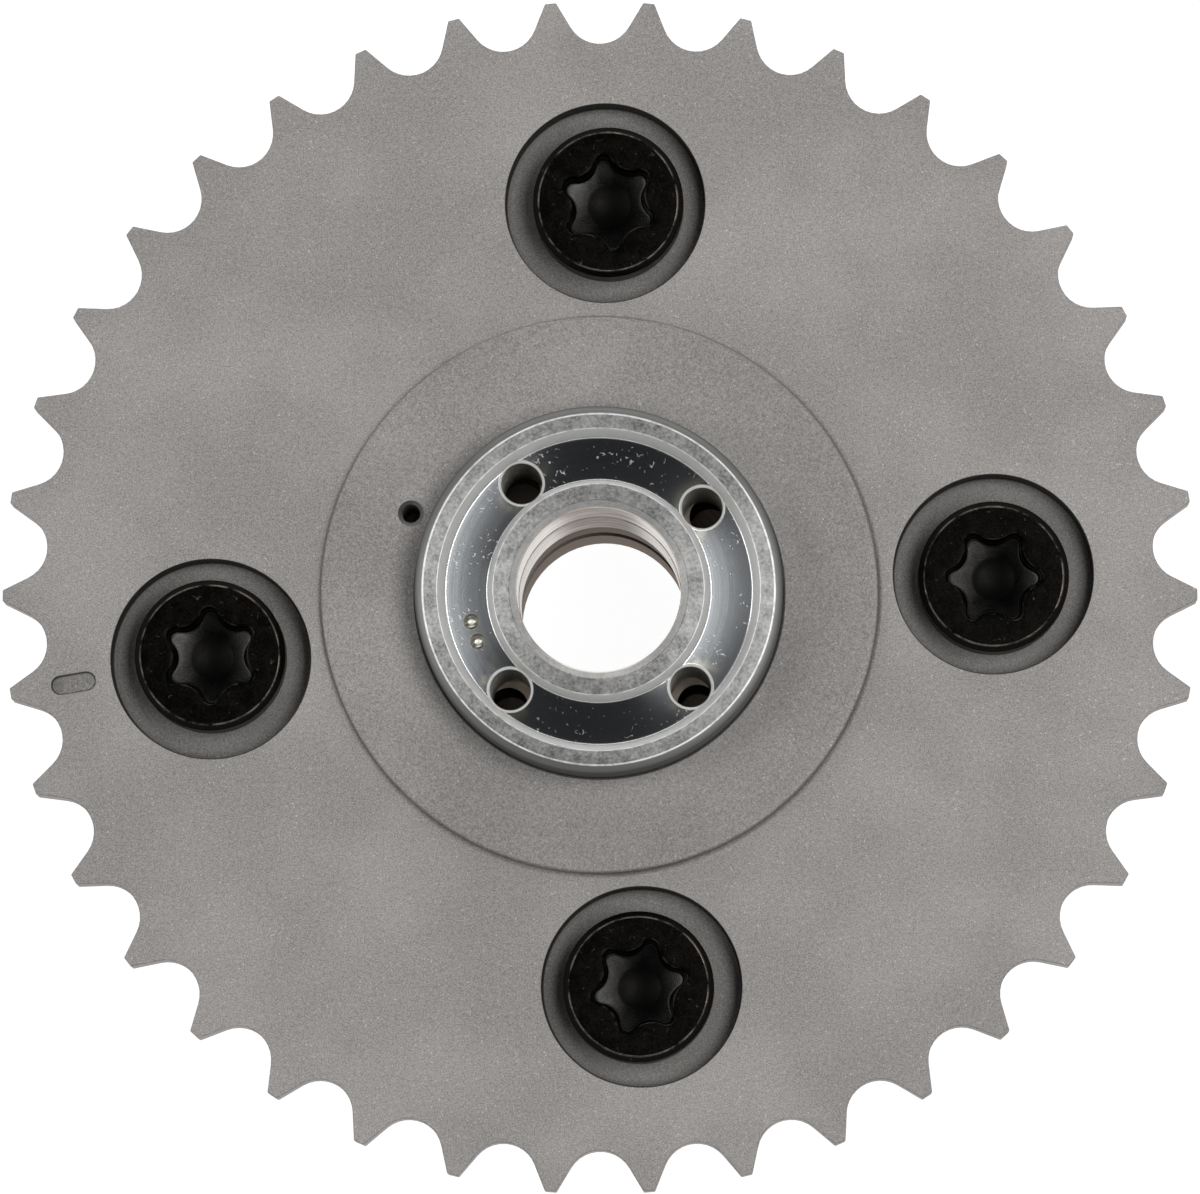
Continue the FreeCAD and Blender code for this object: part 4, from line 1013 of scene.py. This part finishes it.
# %% Rows of a screw
def screw_rows():
    """[row, 4]: plain radius, share of the six-lobe outline, level, and share of the floor's bowl."""
    thread = np.arange(SHANK_END_Z + SHANK_CHAMFER, THREAD_END_Z, THREAD_PITCH / THREAD_ROWS)
    shank = np.array([(0, SHANK_END_Z), (SHANK_R - SHANK_CHAMFER, SHANK_END_Z)])
    shank = np.concatenate([shank, np.stack([np.full_like(thread, SHANK_R), thread], -1)])
    head = rounded([(SHANK_R, POCKET_Z - 1), (SHANK_R, POCKET_Z), (HEAD_R, POCKET_Z),
                    (HEAD_R, HEAD_Z - HEAD_CHAMFER), (HEAD_R - HEAD_CHAMFER, HEAD_Z),
                    (RECESS_TIP_R + 2 * RECESS_MOUTH_R, HEAD_Z)],
                   [0, UNDER_HEAD_R, HEAD_FOOT_R, HEAD_EDGE_R, HEAD_EDGE_R, 0])
    floor = HEAD_Z - RECESS_DEPTH
    mouth = rounded([(2 * RECESS_MOUTH_R, HEAD_Z), (0, HEAD_Z),
                     (-RECESS_DRAFT / 2, HEAD_Z - RECESS_WALL)], [0, RECESS_MOUTH_R, 0])
    foot = rounded([(-RECESS_DRAFT / 2, floor + RECESS_WALL), (-RECESS_DRAFT, floor),
                    (-RECESS_DRAFT - RECESS_FLOOR_LAND, floor)], [0, RECESS_FOOT_R, 0])
    radius = np.linspace(DIMPLE_R, 0, 10)
    sunk = np.sqrt(DIMPLE_BALL_R ** 2 - radius ** 2) - math.sqrt(DIMPLE_BALL_R ** 2 - DIMPLE_R ** 2)
    dimple = np.stack([radius, floor - sunk * DIMPLE_DEPTH / sunk[-1]], -1)
    rim = np.array([(DIMPLE_R + DIMPLE_RIM, floor)])
    rows = [(shank, 0, 0), (head, 0, 0), (mouth, 1, 0), (foot, 1, 1), (rim, 0, 1), (dimple, 0, 1)]
    return np.concatenate([np.column_stack([part[:, 0], np.full(len(part), share), part[:, 1],
                                            np.full(len(part), bowl)]) for part, share, bowl in rows])


print("rows in a screw:", len(screw_rows()))

# %% [markdown]
# The thread is a triangle wave that moves up by one pitch for each turn round the shank. It fades in
# at the shank's end and out below the head.

# %% A screw
def screw(name, place, turn_degrees):
    """radius = plain radius + share x six lobes - thread depth x a triangle wave up the helix.

    The recess's floor is a shallow bowl. Its slope grows evenly from the middle to the lobes' tips, so
    a point at radius r lies slope x (tip^2 - r^2) / (2 tip) lower than the tips.
    """
    radius, share, level, bowl = (column[:, None] for column in screw_rows().T)
    angle = np.linspace(0, 2 * np.pi, SCREW_AROUND, endpoint=False)
    wave = np.abs((level / THREAD_PITCH - angle / (2 * np.pi)) % 1 - 0.5) * 2
    fade = np.clip(np.minimum(level - SHANK_END_Z - SHANK_CHAMFER, THREAD_END_Z - level)
                   / THREAD_FADE, 0, 1)
    radius = radius + share * six_lobes(angle) - THREAD_DEPTH * fade * wave
    level = level - bowl * math.tan(RECESS_SLOPE) * (RECESS_TIP_R ** 2 - radius ** 2) / (2 * RECESS_TIP_R)
    angle = angle + math.radians(turn_degrees)
    grid = np.stack([place[0] + radius * np.cos(angle), place[1] + radius * np.sin(angle), level], -1)
    return piece(name, [grid])


screws = [screw(f"screw_{number}", around_axis(SCREW_PCR, degrees), recess_turn)
          for number, (degrees, recess_turn) in enumerate(zip(SCREW_AT, SCREW_TURNS), 1)]
for part in screws:
    smooth(part)

# %% [markdown]
# Black oxide is a thin dark film on steel, so it is made as a very dark metal. Its colour clouds a
# little, the chamfer is painted lighter as a sheen, and the recess where the driver sits is greyer.
# Bare steel shows along the ring where head and chamfer meet, partly wear and partly a painted
# highlight, and a painted highlight runs round the recess's mouth.

# %% Black oxide
OXIDE_DARK, OXIDE_LIGHT = (0.0021, 0.002, 0.0019), (0.01, 0.009, 0.0078)
BARE_STEEL_AND_HIGHLIGHT, RECESS_STEEL = (0.14, 0.12, 0.105), (0.024, 0.0235, 0.0225)
DIMPLE_STEEL = (0.0055, 0.0053, 0.005)
OXIDE_TONE, OXIDE_ROUGH, OXIDE_HEIGHT = 0.17, 0.42, 0.008


def screw_black():
    """Nearly black and clouded, with a painted sheen on the chamfer, and wear and painted highlights at
    the head's edge and mouth.
    """
    finish = Finish("screw_black")
    away = finish.distance([around_axis(SCREW_PCR, degrees) for degrees in SCREW_AT])
    cloud = finish.noise(1.4, 4, 0.65)
    fine = finish.noise(0.2, 2, 0.6)
    # Painted sheen: the chamfer is a lighter tone.
    chamfer = away.rise(HEAD_R - HEAD_CHAMFER - 0.05, HEAD_R - HEAD_CHAMFER + 0.1)
    # Bare steel round the head's edge: wear, and a painted highlight.
    ring_wear_and_highlight = away.near(HEAD_R - HEAD_CHAMFER, 0.12) * finish.noise(2.2, 4, 0.7).rise(0.36, 0.66)
    speck = finish.noise(0.3, 3, 0.7).rise(0.66, 0.74) * finish.noise(2.5, 1).rise(0.55, 0.65)
    bare_and_highlight = finish.largest(ring_wear_and_highlight, speck * 0.3, finish.scratches(1.1, 0.012, 0.62) * 0.25)
    bare_and_highlight = bare_and_highlight * finish.z.rise(HEAD_Z - HEAD_CHAMFER, HEAD_Z - HEAD_CHAMFER / 2)
    # Painted highlight round the recess's mouth.
    mouth = finish.z.near(HEAD_Z - RECESS_MOUTH_R / 2, RECESS_MOUTH_R / 2) * away.rise(
        RECESS_TIP_R + 0.5, RECESS_TIP_R + 0.4)
    bare_and_highlight = finish.largest(bare_and_highlight, mouth * cloud.rise(0.4, 0.6) * 0.4)
    recess = finish.z.rise(HEAD_Z - 1.6, HEAD_Z - 2.2) * away.rise(RECESS_TIP_R, RECESS_TIP_R - 0.1)
    dimple = away.rise(DIMPLE_R + 0.2, DIMPLE_R - 0.3) * recess
    middle = away.rise(RECESS_TIP_R - 0.2, DIMPLE_R) * recess
    tone = (OXIDE_TONE + (cloud - 0.5) * 1.2 + (fine - 0.5) * 1.4 + chamfer * 0.9).clipped()
    colour = finish.blend(recess, finish.blend(tone, OXIDE_DARK, OXIDE_LIGHT), RECESS_STEEL)
    colour = finish.blend(middle, colour, DIMPLE_STEEL)
    rough = OXIDE_ROUGH + (cloud - 0.5) * 0.3 + (fine - 0.5) * 0.2 - recess * 0.14 + dimple * 0.16
    return finish.finished(finish.shader(base_color=finish.blend(bare_and_highlight, colour, BARE_STEEL_AND_HIGHLIGHT),
                                         metallic=1.0, roughness=rough.clipped(),
                                         normal=finish.bump(fine + cloud * 0.8, OXIDE_HEIGHT)))


BLACK = screw_black()
for number, part in enumerate(screws, 1):
    dress(part, "stator", "screw_black", BLACK, f"cover_screw_{number}")

# %% [markdown]
# ## Finishes for the other CAD nodes
#
# The other nodes keep their own meshes, and only get a finish. Turned and ground metals share one
# recipe: fine lines that follow the radius on flat faces and the level on round ones.

# %% Turned metal and seal plastic
SEAL_DARK, SEAL_LIGHT, SEAL_ROUGH, FIBRE_HEIGHT = (0.05, 0.043, 0.037), (0.15, 0.13, 0.11), 0.45, 0.01


def turned_metal(name, dark, light, rough, line=0.14, depth=0.004, grazing=WHITE):
    """Fine lines about line millimetres apart. Grazing is its colour at a flat angle."""
    finish = Finish(name)
    lines_at = finish.vector(finish.radius / line, finish.z / line, finish.x * 0.03)
    lines = finish.noise(1, 2, 0.6, lines_at)
    stain = finish.noise(6, 4, 0.6)
    grain = finish.noise(0.2, 2, 0.6)
    tone = (0.5 + (lines - 0.5) * 0.8 + (stain - 0.5) * 0.5 + (grain - 0.5) * 0.4).clipped()
    rough = rough + (stain - 0.5) * 0.2 + (grain - 0.5) * 0.1
    return finish.finished(finish.shader(base_color=finish.blend(tone, dark, light), metallic=1.0,
                                         roughness=rough.clipped(), specular_tint=grazing,
                                         normal=finish.bump(lines + grain * 0.4, depth)))


def seal_plastic():
    """Dark plastic with fibres that run upwards."""
    finish = Finish("seal_plastic")
    fibre = finish.noise(1, 3, 0.6, finish.vector(finish.x / 0.1, finish.y / 0.1, finish.z / 1.2))
    colour = finish.blend(fibre, SEAL_DARK, SEAL_LIGHT)
    return finish.finished(finish.shader(base_color=colour, roughness=SEAL_ROUGH + (fibre - 0.5) * 0.3,
                                         normal=finish.bump(fibre, FIBRE_HEIGHT)))


SPRING_STEEL = turned_metal("spring_steel", (0.2, 0.2, 0.21), (0.5, 0.5, 0.51), 0.3, 0.3, 0.001)

# %% [markdown]
# Each finish is listed with the nodes that wear it. A CAD node's own mesh isn't touched, only the
# material in its slot.

# %% Finishes of the other nodes
NODE_FINISHES = [
    (SINTERED, ["housing"]),
    (turned_metal("turned_steel", (0.22, 0.215, 0.21), (0.5, 0.49, 0.475), 0.38),
     ["front_cover", "lock_spring_seat"]),
    (turned_metal("rotor_metal", (0.1, 0.086, 0.077), (0.3, 0.265, 0.24), 0.45,
                  grazing=(0.48, 0.43, 0.385, 1.0)), ["rotor"]),
    (turned_metal("hard_steel", (0.42, 0.42, 0.42), (0.66, 0.655, 0.65), 0.22, 0.06, 0.001),
     ["lock_pin", "lock_bush", "locating_dowel"]),
    (SPRING_STEEL, [f"{seal}_seal_spring_{n}" for seal in ("vane", "lobe") for n in range(1, 5)]),
    (seal_plastic(), [f"{seal}_seal_{n}" for seal in ("vane", "lobe") for n in range(1, 5)]),
]
for material, names in NODE_FINISHES:
    for name in names:
        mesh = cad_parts[name].data
        mesh.materials.clear()
        mesh.materials.append(material)
print("finished nodes:", sum(len(names) for _, names in NODE_FINISHES))

# %% [markdown]
# ## Lock pin spring
#
# A coil spring presses the lock pin down. When the pin slides up, a spring that kept its length would
# cut through it. The coil is built here as well, as a small circle that is carried along a helix
# and cut flat at both ends.

# %% Lock pin spring
COIL_R, WIRE_R, COIL_TURNS, PIN_TRAVEL = 2.6, 0.4, 8, 3.2
COIL_STEPS, WIRE_AROUND = 32, 16


def coil_spring(centre, low, high):
    """A grid: the wire's circle goes round and up at the same time, from low to high.

    The wire shrinks to a point at its two ends, which closes it.
    """
    share = np.linspace(0, 1, COIL_TURNS * COIL_STEPS + 1)[:, None]
    wire = np.where((share > 0) & (share < 1), WIRE_R, 0)
    turned_by = share * COIL_TURNS * 2 * np.pi
    across = np.linspace(0, 2 * np.pi, WIRE_AROUND, endpoint=False)
    radius = COIL_R + wire * np.cos(across)
    level = np.clip(low + (high - low) * share + wire * np.sin(across), low, high)
    x, y = centre[0] + radius * np.cos(turned_by), centre[1] + radius * np.sin(turned_by)
    return piece("lock_spring", [np.stack([x, y, level], -1)])


box_low, box_high = (np.array(corner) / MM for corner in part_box("lock_pin_spring"))
seat = np.append((box_low + box_high)[:2] / 2, box_high[2])
spring = coil_spring(seat, box_low[2], box_high[2])
smooth(spring)
dress(spring, "rotor", "spring_steel", SPRING_STEEL, "lock_pin_spring")
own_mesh(spring)

# %% Size
size = {"cad": [list(corner) for corner in cad_box], "scene": [list(corner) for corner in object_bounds()]}
print(size)
